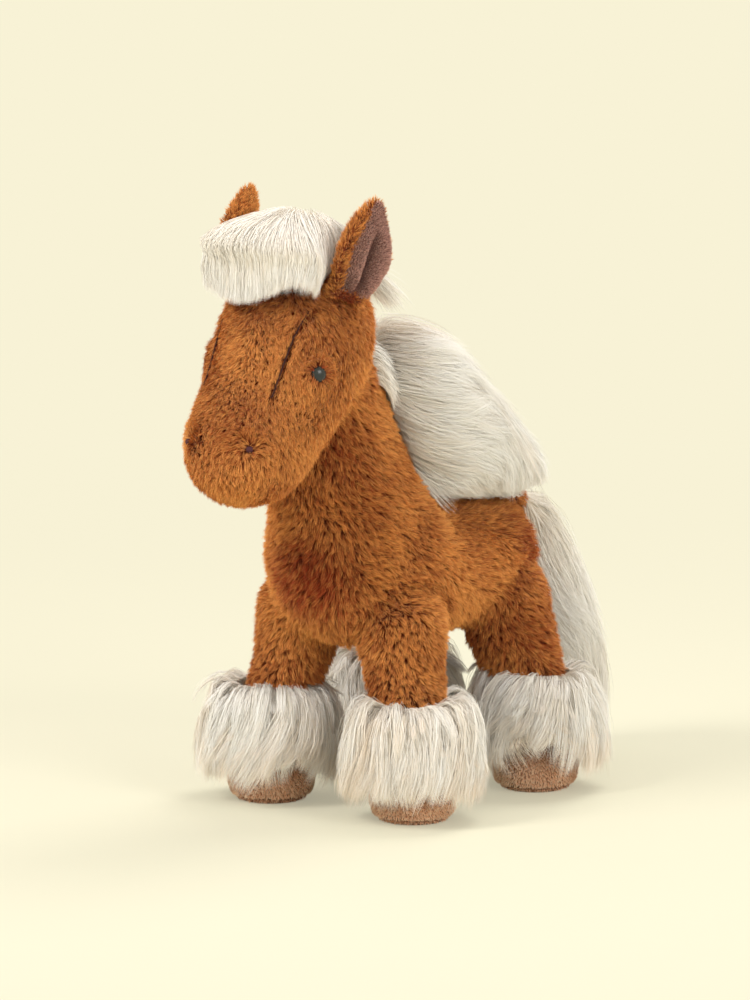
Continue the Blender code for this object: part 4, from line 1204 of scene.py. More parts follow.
def nap_group():
    """Short nap or knit: mottled colour and the height of its grain."""

    def build(tree, given, result):
        place = own_place(tree)
        fine = noise(tree, place, 1500.0, 3.0, 0.7)
        brushed = noise(tree, place, 90.0, 2.0)
        grain = maths(tree, "MULTIPLY", fine, 0.75)
        blend = maths(tree, "ADD", grain, maths(tree, "MULTIPLY", brushed, 0.45))
        share = between(tree, blend, 0.35, 0.85)
        tree.links.new(mixed(tree, share, given["Dark"], given["Light"]), result["Colour"])
        tree.links.new(maths(tree, "MULTIPLY", fine, given["Grain"]), result["Height"])

    inputs = (("Dark", "colour"), ("Light", "colour"), ("Grain", "number"))
    return group_named("nap", inputs, (("Colour", "colour"), ("Height", "number")), build)


def new_material(name, roughness, sheen=0.0):
    """A material with its shader."""
    material = bpy.data.materials.new(name)
    material.use_nodes = True
    shader = material.node_tree.nodes["Principled BSDF"]
    shader.inputs["Roughness"].default_value = roughness
    shader.inputs["Specular IOR Level"].default_value = 0.25
    shader.inputs["Sheen Weight"].default_value = sheen
    shader.inputs["Sheen Roughness"].default_value = 0.5
    return material, material.node_tree, shader


def placed_group(tree, group, values):
    """A shared group in a material, with this material's values."""
    made = node(tree, "ShaderNodeGroup", node_tree=group)
    for key, value in values.items():
        feed(tree, made.inputs[key], value)
    return made.outputs


def strand_material(name, root, dark, light, streaks, reach, roughness, sheen=0.35):
    """The finish of strands."""
    material, tree, shader = new_material(name, roughness, sheen)
    values = {"Root": root, "Dark": dark, "Light": light, "Streaks": streaks, "Root Reach": reach}
    given = placed_group(tree, strand_colour_group(), values)
    tree.links.new(given["Colour"], shader.inputs["Base Color"])
    return material


def nap_material(name, dark, light, grain, roughness=0.95, sheen=0.2):
    """Velour, knit backing or plain cloth."""
    material, tree, shader = new_material(name, roughness, sheen)
    given = placed_group(tree, nap_group(), {"Dark": dark, "Light": light, "Grain": grain})
    tree.links.new(given["Colour"], shader.inputs["Base Color"])
    bump = node(tree, "ShaderNodeBump")
    bump.inputs["Distance"].default_value = 0.0006
    tree.links.new(given["Height"], bump.inputs["Height"])
    tree.links.new(bump.outputs[0], shader.inputs["Normal"])
    return material


def eye_material(colour):
    """Glossy plastic with a faint cloud in its colour."""
    material, tree, shader = new_material("eye_gloss", 0.06)
    cloud = noise(tree, own_place(tree), 420.0)
    lighter = tuple(min(1.0, value * 2 + 0.004) for value in colour)
    tree.links.new(mixed(tree, cloud, tuple(colour), lighter), shader.inputs["Base Color"])
    shader.inputs["Specular IOR Level"].default_value = 0.18
    return material


def plastic_material():
    """Moulded pale plastic with a fine texture."""
    material, tree, shader = new_material("washer_plastic", 0.45)
    speckle = noise(tree, own_place(tree), 700.0, 3.0)
    tree.links.new(mixed(tree, speckle, *displayed(WASHER_COLOURS)), shader.inputs["Base Color"])
    bump = node(tree, "ShaderNodeBump")
    bump.inputs["Distance"].default_value = 0.0001
    tree.links.new(speckle, bump.inputs["Height"])
    tree.links.new(bump.outputs[0], shader.inputs["Normal"])
    return material


def material_named(name):
    """A finish of the toy, made when it is first asked for."""
    found = bpy.data.materials.get(name)
    if found:
        return found
    scene = bpy.context.scene
    pile = scene.horse_pile
    hair = scene.horse_hair
    foot = scene.horse_feet
    face = scene.horse_face
    plum_light = tuple(min(1.0, value * 2.2) for value in face.thread_colour)
    makers = {
        "brown_pile": lambda: strand_material(
            "brown_pile", pile.root_colour, pile.dark_colour, pile.light_colour, 0.5, 0.65, 0.7, 0.1),
        "cream_hair": lambda: strand_material(
            "cream_hair", hair.root_colour, hair.dark_colour, hair.light_colour, 0.5, 0.55, 0.5),
        "brown_backing": lambda: nap_material("brown_backing", *displayed(BACKING_COLOURS), 0.6),
        "cream_backing": lambda: nap_material("cream_backing", hair.root_colour, hair.dark_colour, 0.6),
        "hoof_velour": lambda: nap_material(
            "hoof_velour", foot.velour_dark, foot.velour_light, 0.7, 0.95, 0.35),
        "hoof_nap": lambda: strand_material("hoof_nap", *displayed(HOOF_NAP_COLOURS), 0.4, 0.7, 0.7),
        "ear_nap": lambda: strand_material("ear_nap", *displayed(EAR_NAP_COLOURS), 0.4, 0.7, 0.7),
        "ear_velour": lambda: nap_material(
            "ear_velour", face.lining_dark, face.lining_light, 1.0, 0.95, 0.35),
        "seam_thread_and_shade": lambda: nap_material("seam_thread_and_shade", *displayed(SEAM_THREAD_AND_SHADE_COLOURS), 0.5),
        "seam_cloth": lambda: nap_material("seam_cloth", *displayed(SEAM_CLOTH_COLOURS), 0.8),
        "nostril_thread": lambda: nap_material(
            "nostril_thread", face.thread_colour, plum_light, 0.5, 0.5, 0.1),
        "eye_gloss": lambda: eye_material(face.eye_colour),
        "washer_plastic": plastic_material,
    }
    return makers[name]()


def pillow_mesh(name, front, rear):
    """A closed mesh of two sheets of as many rows and columns of points, sewn along their edge."""
    bm = bmesh.new()
    sheets = [[[bm.verts.new(point) for point in row] for row in sheet.tolist()] for sheet in (front, rear)]
    for sheet in sheets:
        for row, after in zip(sheet, sheet[1:]):
            for index in range(len(row) - 1):
                bm.faces.new((row[index], row[index + 1], after[index + 1], after[index]))
    rims = []
    for sheet in sheets:
        left = [row[0] for row in sheet]
        right = [row[-1] for row in sheet]
        rims.append(sheet[0][:-1] + right[:-1] + sheet[-1][:0:-1] + left[:0:-1])
    for index in range(len(rims[0])):
        after = (index + 1) % len(rims[0])
        bm.faces.new((rims[0][index], rims[0][after], rims[1][after], rims[1][index]))
    return as_mesh(name, bm)


def add_thread(bm, centres, across, out, radius, sides=6):
    """A round thread along the centres, closed at its ends."""
    rings = []
    for centre in centres:
        ring = []
        for corner in range(sides):
            turn = math.tau * corner / sides
            ring.append(bm.verts.new(centre + (across * math.cos(turn) + out * math.sin(turn)) * radius))
        rings.append(ring)
    for ring, after in zip(rings, rings[1:]):
        for corner in range(sides):
            following = (corner + 1) % sides
            bm.faces.new((ring[corner], ring[following], after[following], after[corner]))
    bm.faces.new(rings[0])
    bm.faces.new(rings[-1])


def set_in(mesh, depth, times=3):
    """A form set in evenly by a depth."""
    relaxed(mesh, times)
    for _ in range(2):
        points = numbers(mesh.vertices, "co") - numbers(mesh.vertex_normals, "vector") * depth / 2
        set_points(mesh, points)
    return mesh


def hair_core(name, form_node, body, depth, rule=None):
    """The backing that long hair grows from, in place of its plain solid."""
    mesh = set_in(remeshed(name, joined_nodes(name, [form_node]), COVER_VOXEL), depth)
    if rule:
        set_points(mesh, rule(numbers(mesh.vertices, "co")))
    core = add_object(name, mesh, material_named("cream_backing"))
    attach(core, body)
    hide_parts(form_node)
    return core


def turned_mesh(name, profile, segments, closed=False):
    """A form turned about Z from radius and height pairs."""
    bm = bmesh.new()
    verts = [bm.verts.new((radius, 0, height)) for radius, height in profile]
    edges = [bm.edges.new(pair) for pair in zip(verts, verts[1:])]
    if closed:
        edges.append(bm.edges.new((verts[-1], verts[0])))
    bmesh.ops.spin(bm, geom=verts + edges, cent=(0, 0, 0), axis=(0, 0, 1), angle=math.tau,
                   steps=segments, use_merge=True)
    bmesh.ops.remove_doubles(bm, verts=bm.verts, dist=WELD)
    return as_mesh(name, bm)


_forms = {}


def form_of(key, nodes, voxel, change=None):
    """A closed form of CAD nodes that strands are tested against, made once."""
    if key not in _forms:
        mesh = relaxed(remeshed(key, joined_nodes(key, nodes), voxel), times=2)
        if change:
            set_points(mesh, change(numbers(mesh.vertices, "co")))
        _forms[key] = Surface(mesh)
    return _forms[key]


def whole_form():
    """The outside of everything that carries brown pile."""
    nodes = ["trunk_cover", "trunk_filling", "head_cover", "head_filling"]
    for leg in LEGS:
        nodes += [leg + "_cover", leg + "_filling"]
    return form_of("whole_form", nodes, FORM_VOXEL)


def drawn_up(points, top, share, gap=0.0):
    """The points drawn up towards a height by a share, and set a gap below it."""
    points[:, 2] = top - gap - (top - points[:, 2]) * share
    return points


def mane_raised(points):
    """Places in the mane, its lower edge drawn up a little."""
    return drawn_up(points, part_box("mane")[1].z, MANE_DROP)


def forelock_raised(points):
    """Places in the forelock, its lower edge drawn up so that pile grows under its free ends."""
    return drawn_up(points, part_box("forelock")[1].z, FORELOCK_DROP)


def hair_forms():
    """The solids that long hair fills."""
    names = ["tail"] + [leg + "_feather" for leg in LEGS]
    forms = [form_of(name + "_form", [name], FORM_VOXEL) for name in names]
    forms.append(form_of("forelock_inner_form", ["forelock"], FORM_VOXEL, forelock_raised))
    return forms + [form_of("mane_form", ["mane"], FORM_VOXEL, mane_raised)]


def add_cover(name, body, nodes, shallow=()):
    """A stuffed cover's cloth, in place of its plain solids."""
    depth = bpy.context.scene.horse_pile.backing_depth
    mesh = stuffed_cover(name, nodes, whole_form(), depth, shallow)
    cover = add_object(name, mesh, material_named("brown_backing"))
    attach(cover, body)
    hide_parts(*nodes)
    return cover


class HORSE_OT_body(bpy.types.Operator):
    """Make the trunk's stuffed cover and its pile"""

    bl_idname = "plush_horse.body"
    bl_label = "Body"

    def execute(self, context):
        pile = context.scene.horse_pile
        cover = add_cover("trunk_cloth", "trunk", ["trunk_cover", "trunk_filling"])
        grow_pile("trunk_pile", "trunk", Surface(cover.data), trunk_rule, pile.length * TRUNK_PILE_SHARE, 11,
                  whole_form(), hair_forms(), fineness=TRUNK_FINENESS)
        return {"FINISHED"}


class HORSE_OT_head(bpy.types.Operator):
    """Make the head's stuffed cover and its pile"""

    bl_idname = "plush_horse.head"
    bl_label = "Head"

    def execute(self, context):
        pile = context.scene.horse_pile
        eyes = [node_middle(side_name + "_eye") for side_name, _ in SIDES]
        cover = add_cover("head_cloth", "head", ["head_cover", "head_filling"], eyes)
        grow_pile("head_pile", "head", Surface(cover.data), head_rule, pile.face_length, 23, whole_form(),
                  hair_forms(), fineness=HEAD_FINENESS)
        return {"FINISHED"}


class HORSE_OT_legs(bpy.types.Operator):
    """Make the four legs' stuffed covers and their pile"""

    bl_idname = "plush_horse.legs"
    bl_label = "Legs"

    def execute(self, context):
        pile = context.scene.horse_pile
        for index, leg in enumerate(LEGS):
            cover = add_cover(leg + "_cloth", leg, [leg + "_cover", leg + "_filling"])
            grow_pile(leg + "_pile", leg, Surface(cover.data), leg_rule(leg), pile.length * LEG_PILE_SHARE,
                      31 + index, whole_form(), hair_forms(), fineness=LEG_FINENESS)
        return {"FINISHED"}


class HORSE_OT_ears(bpy.types.Operator):
    """Make the ears' plush backs and their folded velour linings"""

    bl_idname = "plush_horse.ears"
    bl_label = "Ears"

    def execute(self, context):
        for side_name, side in SIDES:
            self.add_back(side_name, side)
            self.add_lining(side_name, side)
        return {"FINISHED"}

    def add_back(self, side_name, side):
        """The plush back, whose pile turns over the ear's front rim."""
        settings = bpy.context.scene.horse_pile
        name = side_name + "_ear_back"
        mesh = set_in(remeshed(name + "_cloth", joined_nodes(name, [name]), EAR_VOXEL), EAR_SET_IN, times=2)
        back = add_object(name + "_cloth", mesh, material_named("brown_backing"))
        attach(back, side_name + "_ear")
        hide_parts(name)
        random = np.random.default_rng(41 + side)
        roots, normals = Surface(mesh).scatter(settings.closeness * EAR_CLOSENESS, random)
        base, axes = ear_axes(side_name)
        local = (roots - base) @ axes.T
        under = local[:, 0] > EAR_RIM_SHARE * ear_half(local[:, 1])
        keep = ~((normals @ axes[2] > EAR_FACING) & under & (local[:, 1] > EAR_BASE))
        roots = roots[keep]
        normals = normals[keep]
        rule = ear_rule(side_name)
        length = settings.length * EAR_PILE_SHARE
        strands = pile_strands(roots, normals, rule, length, settings, random, 47, EAR_FINENESS)
        pile = material_named("brown_pile")
        add_strands(side_name + "_ear_pile", side_name + "_ear", pile, strands)

    def add_lining(self, side_name, side):
        """The velour lining: two soft pads beside a crease, sewn in along the ear's rim."""
        settings = bpy.context.scene.horse_pile
        name = side_name + "_ear_lining"
        base, axes = ear_axes(side_name)
        local = (numbers(frame["nodes"][name].data.vertices, "co") - base) @ axes.T
        bottom = local[:, 1].min() - LINING_BELOW
        top = local[:, 1].max() + LINING_ABOVE
        shares = (np.linspace(0, 1, LINING_ROWS), np.linspace(-1, 1, LINING_COLUMNS))
        rows, columns = np.meshgrid(*shares, indexing="ij")
        up = bottom + (top - bottom) * rows
        across = ear_half(up) * (columns * LINING_HALF_SHARE + LINING_SHIFT_SHARE)
        face = local[:, 2].min() + EAR_HOLLOW * (across / EAR_HALF) ** 2
        single = np.cos(columns * math.pi / 2)
        double = np.abs(np.sin(columns * math.pi)) ** 0.8
        join = ramp(rows, *LINING_JOIN)
        taper = np.interp(rows, *LINING_TAPER_SHARES)
        pad = LINING_PAD * taper * (double * (1 - join) + single * 0.8 * join)
        front = np.stack((across, up, face + LINING_HALF_THICKNESS + pad), 2)
        rear = np.stack((across, up, face - LINING_HALF_THICKNESS), 2)
        mesh = pillow_mesh(name + "_velour", base + front @ axes, base + rear @ axes)
        points = numbers(mesh.vertices, "co")
        set_points(mesh, uneven(mesh, points, LINING_WAVE, LINING_UNEVENNESS, 49))
        lining = add_object(name + "_velour", mesh, material_named("ear_velour"))
        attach(lining, side_name + "_ear")
        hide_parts(name)
        random = np.random.default_rng(51 + side)
        roots, normals = Surface(mesh).scatter(settings.closeness * LINING_CLOSENESS, random)
        keep = normals @ axes[2] > LINING_FACING
        rule = lining_rule(side_name)
        strands = pile_strands(roots[keep], normals[keep], rule, LINING_NAP, settings, random, 51,
                               LINING_NAP_FINENESS)
        nap = material_named("ear_nap")
        add_strands(side_name + "_ear_nap", side_name + "_ear", nap, strands)


class HORSE_OT_face(bpy.types.Operator):
    """Make the eyes, the stitched nostrils and the seams beside the forehead"""

    bl_idname = "plush_horse.face"
    bl_label = "Face"

    def execute(self, context):
        for side_name, side in SIDES:
            self.add_eye(side_name)
            self.add_nostril(side_name)
            self.add_seam(side_name, side)
            washer = frame["nodes"][side_name + "_eye_washer"]
            washer.data.materials.clear()
            washer.data.materials.append(material_named("washer_plastic"))
        return {"FINISHED"}

    def add_eye(self, side_name):
        """A domed glossy eye on its shank."""
        name = side_name + "_eye"
        points = numbers(frame["nodes"][name].data.vertices, "co")
        washer = node_middle(name + "_washer")
        dome = node_middle(name)
        axis = Vector(unit(dome - washer))
        reach = (points - washer) @ np.array(axis)
        top = washer + np.array(axis) * (reach.max() - EYE_SUNK)
        end = reach.min() - reach.max()
        profile = []
        for step in range(EYE_STEPS + 1):
            turn = math.pi / 2 * step / EYE_STEPS
            profile.append((EYE_RADIUS * math.sin(turn), EYE_DOME * (math.cos(turn) - 1)))
        profile += [(EYE_BACK_RADIUS, -EYE_BACK), (EYE_SHANK_RADIUS, -EYE_BACK)]
        profile += [(EYE_SHANK_RADIUS, end), (0, end)]
        mesh = turned_mesh(name + "_dome", profile, 40)
        mesh.transform(Matrix.Translation(top) @ UP_VECTOR.rotation_difference(axis).to_matrix().to_4x4())
        eye = add_object(name + "_dome", mesh, material_named("eye_gloss"))
        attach(eye, "head")
        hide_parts(name)

    def add_nostril(self, side_name):
        """Parallel satin stitches over a small oval."""
        name = side_name + "_nostril"
        points = numbers(frame["nodes"][name].data.vertices, "co")
        middle = points.mean(0)
        _, _, turns = np.linalg.svd(points - middle)
        out = turns[2] if turns[2][1] < 0 else -turns[2]
        middle = middle - out * NOSTRIL_SUNK
        across = unit(np.cross(UP, out))
        along = np.cross(out, across)
        bm = bmesh.new()
        shares = np.linspace(-1, 1, 9)[:, None]
        for row in STITCH_ROWS:
            offset = row * STITCH_SPACING
            half = math.sqrt(STITCH_HALF**2 - offset**2) * STITCH_SHARE
            lift = STITCH_RISE * (1 - shares * shares) * half / STITCH_HALF
            centres = middle + across * offset + along * half * shares + out * (lift - STITCH_ROOT)
            add_thread(bm, centres, across, out, STITCH_RADIUS)
        mesh = as_mesh(name + "_stitches", bm)
        stitches = add_object(name + "_stitches", mesh, material_named("nostril_thread"))
        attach(stitches, "head")
        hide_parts(name)

    def add_seam(self, side_name, side):
        """The stitching between forehead and cheek, deep in the pile, near-black as painted shade of the
        parting there.
        """
        eye = node_middle(side_name + "_eye")
        skin = Surface(bpy.data.objects["head_cloth"].data)
        bm = bmesh.new()
        heights = np.linspace(SEAM_HEIGHTS[0], SEAM_HEIGHTS[-1], SEAM_STEPS)
        lines = np.interp(heights, SEAM_HEIGHTS, SEAM_SIDES) * side
        centres = []
        for height, line in zip(heights, lines):
            start = Vector((line, SEAM_SEEN_FROM, eye[2] + height))
            place, normal, _, _ = skin.tree.ray_cast(start, Vector((0, 1, 0)))
            centres.append(np.array(place + normal * SEAM_LIFT))
        add_thread(bm, np.array(centres), np.array((1.0, 0, 0)), np.array((0, -1.0, 0)), SEAM_THREAD)
        label = side_name + "_face_seam"
        thread = add_object(label, as_mesh(label, bm), material_named("seam_thread_and_shade"))
        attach(thread, "head")


class HORSE_OT_mane(bpy.types.Operator):
    """Make the mane that falls back from the crest"""

    bl_idname = "plush_horse.mane"
    bl_label = "Mane"

    def execute(self, context):
        hair = context.scene.horse_hair
        random = np.random.default_rng(53)
        core = hair_core("mane_backing", "mane", "trunk", hair.core_depth, mane_raised)
        form = form_of("crest_form", ["mane", "trunk_cover", "trunk_filling"], FORM_VOXEL)
        low, high = (np.array(corner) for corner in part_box("mane"))
        low[2] = high[2] - (high[2] - low[2]) * MANE_DROP
        roots, normals, over_nape = self.find_roots(core, hair, random)

        def flow_at(places, share):
            drop = ramp(high[2] - places[:, 2:3], *MANE_DROP_REACH)
            side = np.tanh(places[:, :1] / MANE_SPREAD)
            return np.concatenate((side * (0.75 - 0.3 * drop), 0.95 - 0.25 * drop, -0.25 - 0.75 * drop), 1)

        def lift(share, lock, own):
            return (MANE_LIFT * share - HAIR_ROOT) * (1 + 0.35 * lock[:, 1:2])

        near_edge = ramp(roots[:, 2] - low[2], *MANE_EDGE)
        lengths = hair.mane_length * (0.35 + 0.65 * near_edge) * random.uniform(0.70, 1.1, len(roots))
        lengths = np.minimum(lengths, np.maximum((roots[:, 2] - low[2]) * 1.4, SHORTEST_HAIR))
        lengths[over_nape] *= NAPE_HAIR_SHARE
        strands = laid_strands(form, roots, normals, flow_at, lengths, lift, hair, random, 55,
                               loose=MANE_LOOSE)
        add_strands("mane_hair", "trunk", material_named("cream_hair"), strands)
        return {"FINISHED"}

    def find_roots(self, core, hair, random):
        """Where the mane's strands start, and which of them are the short ones on the nape."""
        trunk = form_of("trunk_solid", ["trunk_cover", "trunk_filling"], FORM_VOXEL)
        roots, normals = Surface(core.data).scatter(hair.closeness, random)
        shown = trunk.nearest(roots)[2] >= MANE_HIDDEN
        neck = joint_place("head_turn")
        nape, nape_normals = trunk.scatter(hair.closeness, random)
        behind = (nape[:, 2] > neck[2] + NAPE_HAIR_HEIGHT) & (nape[:, 1] > neck[1] + NAPE_HAIR_DEPTH)
        over_nape = np.repeat((False, True), (shown.sum(), behind.sum()))
        roots = np.concatenate((roots[shown], nape[behind] - nape_normals[behind] * NAPE_HAIR_ROOT))
        normals = np.concatenate((normals[shown], nape_normals[behind]))
        return roots, normals, over_nape


class HORSE_OT_forelock(bpy.types.Operator):
    """Make the forelock that hangs over the forehead"""

    bl_idname = "plush_horse.forelock"
    bl_label = "Forelock"

    def execute(self, context):
        hair = context.scene.horse_hair
        random = np.random.default_rng(61)
        low, high = (np.array(corner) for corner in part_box("forelock"))
        middle = (low + high) / 2
        depth = hair.core_depth * FORELOCK_CORE_SHARE

        def shorten(points):
            return drawn_up(points, high[2] - depth, FORELOCK_CORE_DROP)

        core = hair_core("forelock_backing", "forelock", "head", depth, shorten)
        form = form_of("forelock_form", ["forelock"], FORM_VOXEL)
        roots, normals = Surface(core.data).scatter(hair.closeness * FORELOCK_CLOSENESS, random)
        head = form_of("head_solid", ["head_cover", "head_filling"], FORM_VOXEL)
        shown = head.nearest(roots)[2] >= FORELOCK_HIDDEN
        roots = roots[shown]
        normals = normals[shown]

        def flow_at(places, share):
            return places * (FORELOCK_SPREAD, 0, 0) + FORELOCK_FLOW

        def lift(share, lock, own):
            return FORELOCK_LIFT * math.sin(math.pi * share) * (1 + 0.3 * lock[:, 1:2]) - HAIR_ROOT

        edge = low[2] - FORELOCK_EDGE + FORELOCK_EDGE_RISE * (roots[:, 0] / FORELOCK_HALF) ** 2
        edge = edge + FORELOCK_LEFT_RISE * ramp(roots[:, 0], *FORELOCK_LEFT)
        drop = np.maximum(roots[:, 2] - edge, 0)
        off = np.linalg.norm((roots - middle) / (high - low) * 2 * LEVEL, axis=1)
        lengths = drop * 1.15 + np.maximum(1 - off, 0) * FORELOCK_INWARD + FORELOCK_OVER
        lengths = np.clip(lengths, *FORELOCK_LENGTHS) * random.uniform(0.92, 1.05, len(roots))
        strands = laid_strands(form, roots, normals, flow_at, lengths, lift, hair, random, 63,
                               hold=1.0, wander=0.40, pull=0.35, loose=FORELOCK_LOOSE, steps=8, leave=12,
                               free=low[2] + FORELOCK_FREE)
        paths = self.with_full_brow(strands[0], low, high)
        ends = edge + random.uniform(*FORELOCK_ENDS, len(roots))
        strands = (cut_below(paths, ends), *strands[1:])
        add_strands("forelock_hair", "head", material_named("cream_hair"), strands)
        for side_name, side in SIDES:
            strands = self.lock_behind_ear(side, hair, random)
            add_strands(side_name + "_ear_lock", "head", material_named("cream_hair"), strands)
        return {"FINISHED"}

    def with_full_brow(self, paths, low, high):
        """The paths with the front swelled over the brow, and drawn back below it."""
        height = paths[..., 2] - high[2]
        front = ramp(low[1] - paths[..., 1], *FORELOCK_FRONT)
        paths[..., 1] += front * FORELOCK_DRAWN_BACK * (1 - ramp(height, *FORELOCK_DRAWN_BELOW))
        swell = ramp(height, *FORELOCK_SWELL_LOW) * (1 - ramp(height, *FORELOCK_SWELL_HIGH)) * front
        out = unit((paths - (low + high) / 2) * LEVEL)
        return paths + out * swell[..., None] * FORELOCK_SWELL

    def lock_behind_ear(self, side, hair, random):
        """The forelock's hair that is combed back and sticks out behind an ear."""
        own = random.normal(size=(LOCK_COUNT, 6))
        start = LOCK_START * (side, 1, 1) + own[:, :3] * LOCK_START_SPREAD
        end = LOCK_END * (side, 1, 1) + own[:, 3:] * LOCK_END_SPREAD + own[:, :3] * LOCK_FAN
        shares = np.linspace(0, 1, 6)
        t = shares[None, :, None]
        over = (start + end) / 2 + unit(end - start) * LOCK_REACH + UP * LOCK_ARCH
        paths = (1 - t) ** 2 * start[:, None] + 2 * (1 - t) * t * over[:, None] + t**2 * end[:, None]
        tones = 0.8 + 0.1 * own[:, 0]
        across = strand_sides(paths, np.broadcast_to(UP, start.shape), random)
        return paths, across, hair.strand_width * np.interp(shares, *HAIR_WIDTHS), tones


class HORSE_OT_tail(bpy.types.Operator):
    """Make the tail and the stub that it hangs from"""

    bl_idname = "plush_horse.tail"
    bl_label = "Tail"

    def execute(self, context):
        hair = context.scene.horse_hair
        random = np.random.default_rng(71)
        low, high = (np.array(corner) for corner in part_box("tail"))

        def shorten(points):
            return drawn_up(points, high[2], TAIL_CORE_DROP, TAIL_CORE_TOP)

        core = hair_core("tail_backing", "tail", "tail", hair.core_depth, shorten)
        form = form_of("tail_form", ["tail"], FORM_VOXEL)
        roots, normals = Surface(core.data).scatter(hair.closeness, random)

        def flow_at(places, share):
            return places * (TAIL_SPREAD, 0, 0) + TAIL_FLOW

        def lift(share, lock, own):
            return (TAIL_LIFT * math.sin(math.pi * share * 0.7) - HAIR_ROOT) * (1 + 0.45 * lock[:, 1:2])

        near_end = ramp(roots[:, 2] - low[2], *TAIL_EDGE)
        lengths = hair.tail_length * (0.28 + 0.72 * near_end) * random.uniform(0.7, 1.05, len(roots))
        strands = laid_strands(form, roots, normals, flow_at, lengths, lift, hair, random, 73, hold=0.85,
                               loose=TAIL_LOOSE)
        paths = strands[0]
        paths[..., 2] = np.maximum(paths[..., 2], TAIL_GROUND)
        add_strands("tail_hair", "tail", material_named("cream_hair"), strands)
        self.add_stub(context.scene.horse_pile, random)
        return {"FINISHED"}

    def add_stub(self, pile, random):
        """The short stuffed stub that the tail hangs from, with its pile."""
        mesh = remeshed("tail_dock_cloth", joined_nodes("tail_dock", ["tail_dock"]), EAR_VOXEL)
        relaxed(mesh, times=2)
        dock = add_object("tail_dock_cloth", mesh, material_named("brown_backing"))
        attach(dock, "tail_dock")
        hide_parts("tail_dock")
        roots, normals = Surface(mesh).scatter(pile.closeness, random)
        length = pile.length * STUB_PILE_SHARE
        strands = pile_strands(roots, normals, trunk_rule, length, pile, random, 109)
        add_strands("tail_dock_pile", "tail_dock", material_named("brown_pile"), strands)


class HORSE_OT_feathers(bpy.types.Operator):
    """Make the long cuffs over the hooves"""

    bl_idname = "plush_horse.feathers"
    bl_label = "Feathers"

    def execute(self, context):
        hair = context.scene.horse_hair
        for index, leg in enumerate(LEGS):
            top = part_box(leg + "_feather")[1].z
            middle = node_middle(leg + "_sole")

            def shorten(points, top=top, middle=middle):
                points[:, :2] = middle[:2] + (points[:, :2] - middle[:2]) * FEATHER_CORE_NARROW
                return drawn_up(points, top, FEATHER_CORE_DROP, FEATHER_CORE_TOP)

            hair_core(leg + "_feather_backing", leg + "_feather", leg, FEATHER_CORE_DEPTH, shorten)
            random = np.random.default_rng(83 + index)
            degrees, depth = FEATHER_BARE[leg]
            strands = feather_strands(middle, top, hair, random, 83 + index, math.radians(degrees), depth)
            add_strands(leg + "_feather_hair", leg, material_named("cream_hair"), strands)
        return {"FINISHED"}


class HORSE_OT_hooves(bpy.types.Operator):
    """Make the velour hooves and their soles"""

    bl_idname = "plush_horse.hooves"
    bl_label = "Hooves"

    def execute(self, context):
        for leg in LEGS:
            self.add_hoof(leg, context.scene.horse_feet)
            self.add_sole(leg)
        return {"FINISHED"}

    def add_hoof(self, leg, settings):
        """A flattened dome with a seam round it."""
        low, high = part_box(leg + "_hoof")
        middle = (low + high) / 2
        radius = (high.x - low.x) / 2 * HOOF_RADIUS_SHARE
        bottom = low.z
        height = high.z - low.z
        waist = bottom + height * HOOF_WAIST_SHARE
        dome = radius * HOOF_DOME_SHARE
        profile = []
        for step in range(HOOF_DOME_STEPS + 1):
            turn = math.pi / 2 * step / HOOF_DOME_STEPS
            level = waist + (high.z - waist) * math.cos(turn)
            profile.append((dome * math.sin(turn) ** HOOF_DOME_POWER, level))
        flat, rounding = HOOF_UNDER_SHARES
        for step in range(1, HOOF_UNDER_STEPS + 1):
            turn = math.pi / 2 * step / HOOF_UNDER_STEPS
            level = waist - (waist - bottom) * math.sin(turn)
            profile.append((radius * (flat + rounding * math.cos(turn)), level))
        profile.append((0, bottom))
        mesh = turned_mesh(leg + "_hoof_velour", profile, 72)
        points = numbers(mesh.vertices, "co")
        above = points[:, 2:] > bottom + HOOF_FLAT
        off = points[:, 2:] - settings.seam_height - HOOF_SEAM_TILT * points[:, 1:2]
        groove = settings.seam_depth * np.exp(-((off / settings.seam_width) ** 2)) * above
        points[:, :2] *= 1 - groove / radius
        set_points(mesh, np.where(above, uneven(mesh, points, HOOF_WAVE, HOOF_UNEVENNESS, 77), points))
        mesh.transform(Matrix.Translation((middle.x, middle.y, 0)))
        hoof = add_object(leg + "_hoof_velour", mesh, material_named("hoof_velour"))
        modifier = hoof.modifiers.new("smooth", "SUBSURF")
        modifier.levels = 1
        modifier.render_levels = 1
        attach(hoof, leg)
        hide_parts(leg + "_hoof", leg + "_pellet_bag")
        self.add_nap(leg, "_hoof_nap", mesh, bottom + HOOF_NAP_LOW, bottom + height * HOOF_NAP_TOP_SHARE)

    def add_nap(self, leg, ending, mesh, low, high):
        """The velour's nap between two heights."""
        pile = bpy.context.scene.horse_pile
        random = np.random.default_rng(101)
        roots, normals = Surface(mesh).scatter(pile.closeness, random)
        keep = (roots[:, 2] > low) & (roots[:, 2] < high)
        strands = pile_strands(roots[keep], normals[keep], hoof_rule, HOOF_NAP, pile, random, 103,
                               HOOF_NAP_FINENESS)
        add_strands(leg + ending, leg, material_named("hoof_nap"), strands)

    def add_sole(self, leg):
        """A flat sole with a rounded edge."""
        low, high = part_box(leg + "_sole")
        middle = (low + high) / 2
        radius = (high.x - low.x) / 2 * SOLE_RADIUS_SHARE
        profile = [(radius * out, high.z * up) for out, up in SOLE_SHARES]
        mesh = turned_mesh(leg + "_sole_velour", profile, 48)
        mesh.transform(Matrix.Translation((middle.x, middle.y, 0)))
        sole = add_object(leg + "_sole_velour", mesh, material_named("hoof_velour"))
        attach(sole, leg)
        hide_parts(leg + "_sole")
        self.add_nap(leg, "_sole_nap", mesh, SOLE_NAP_LOW, high.z)


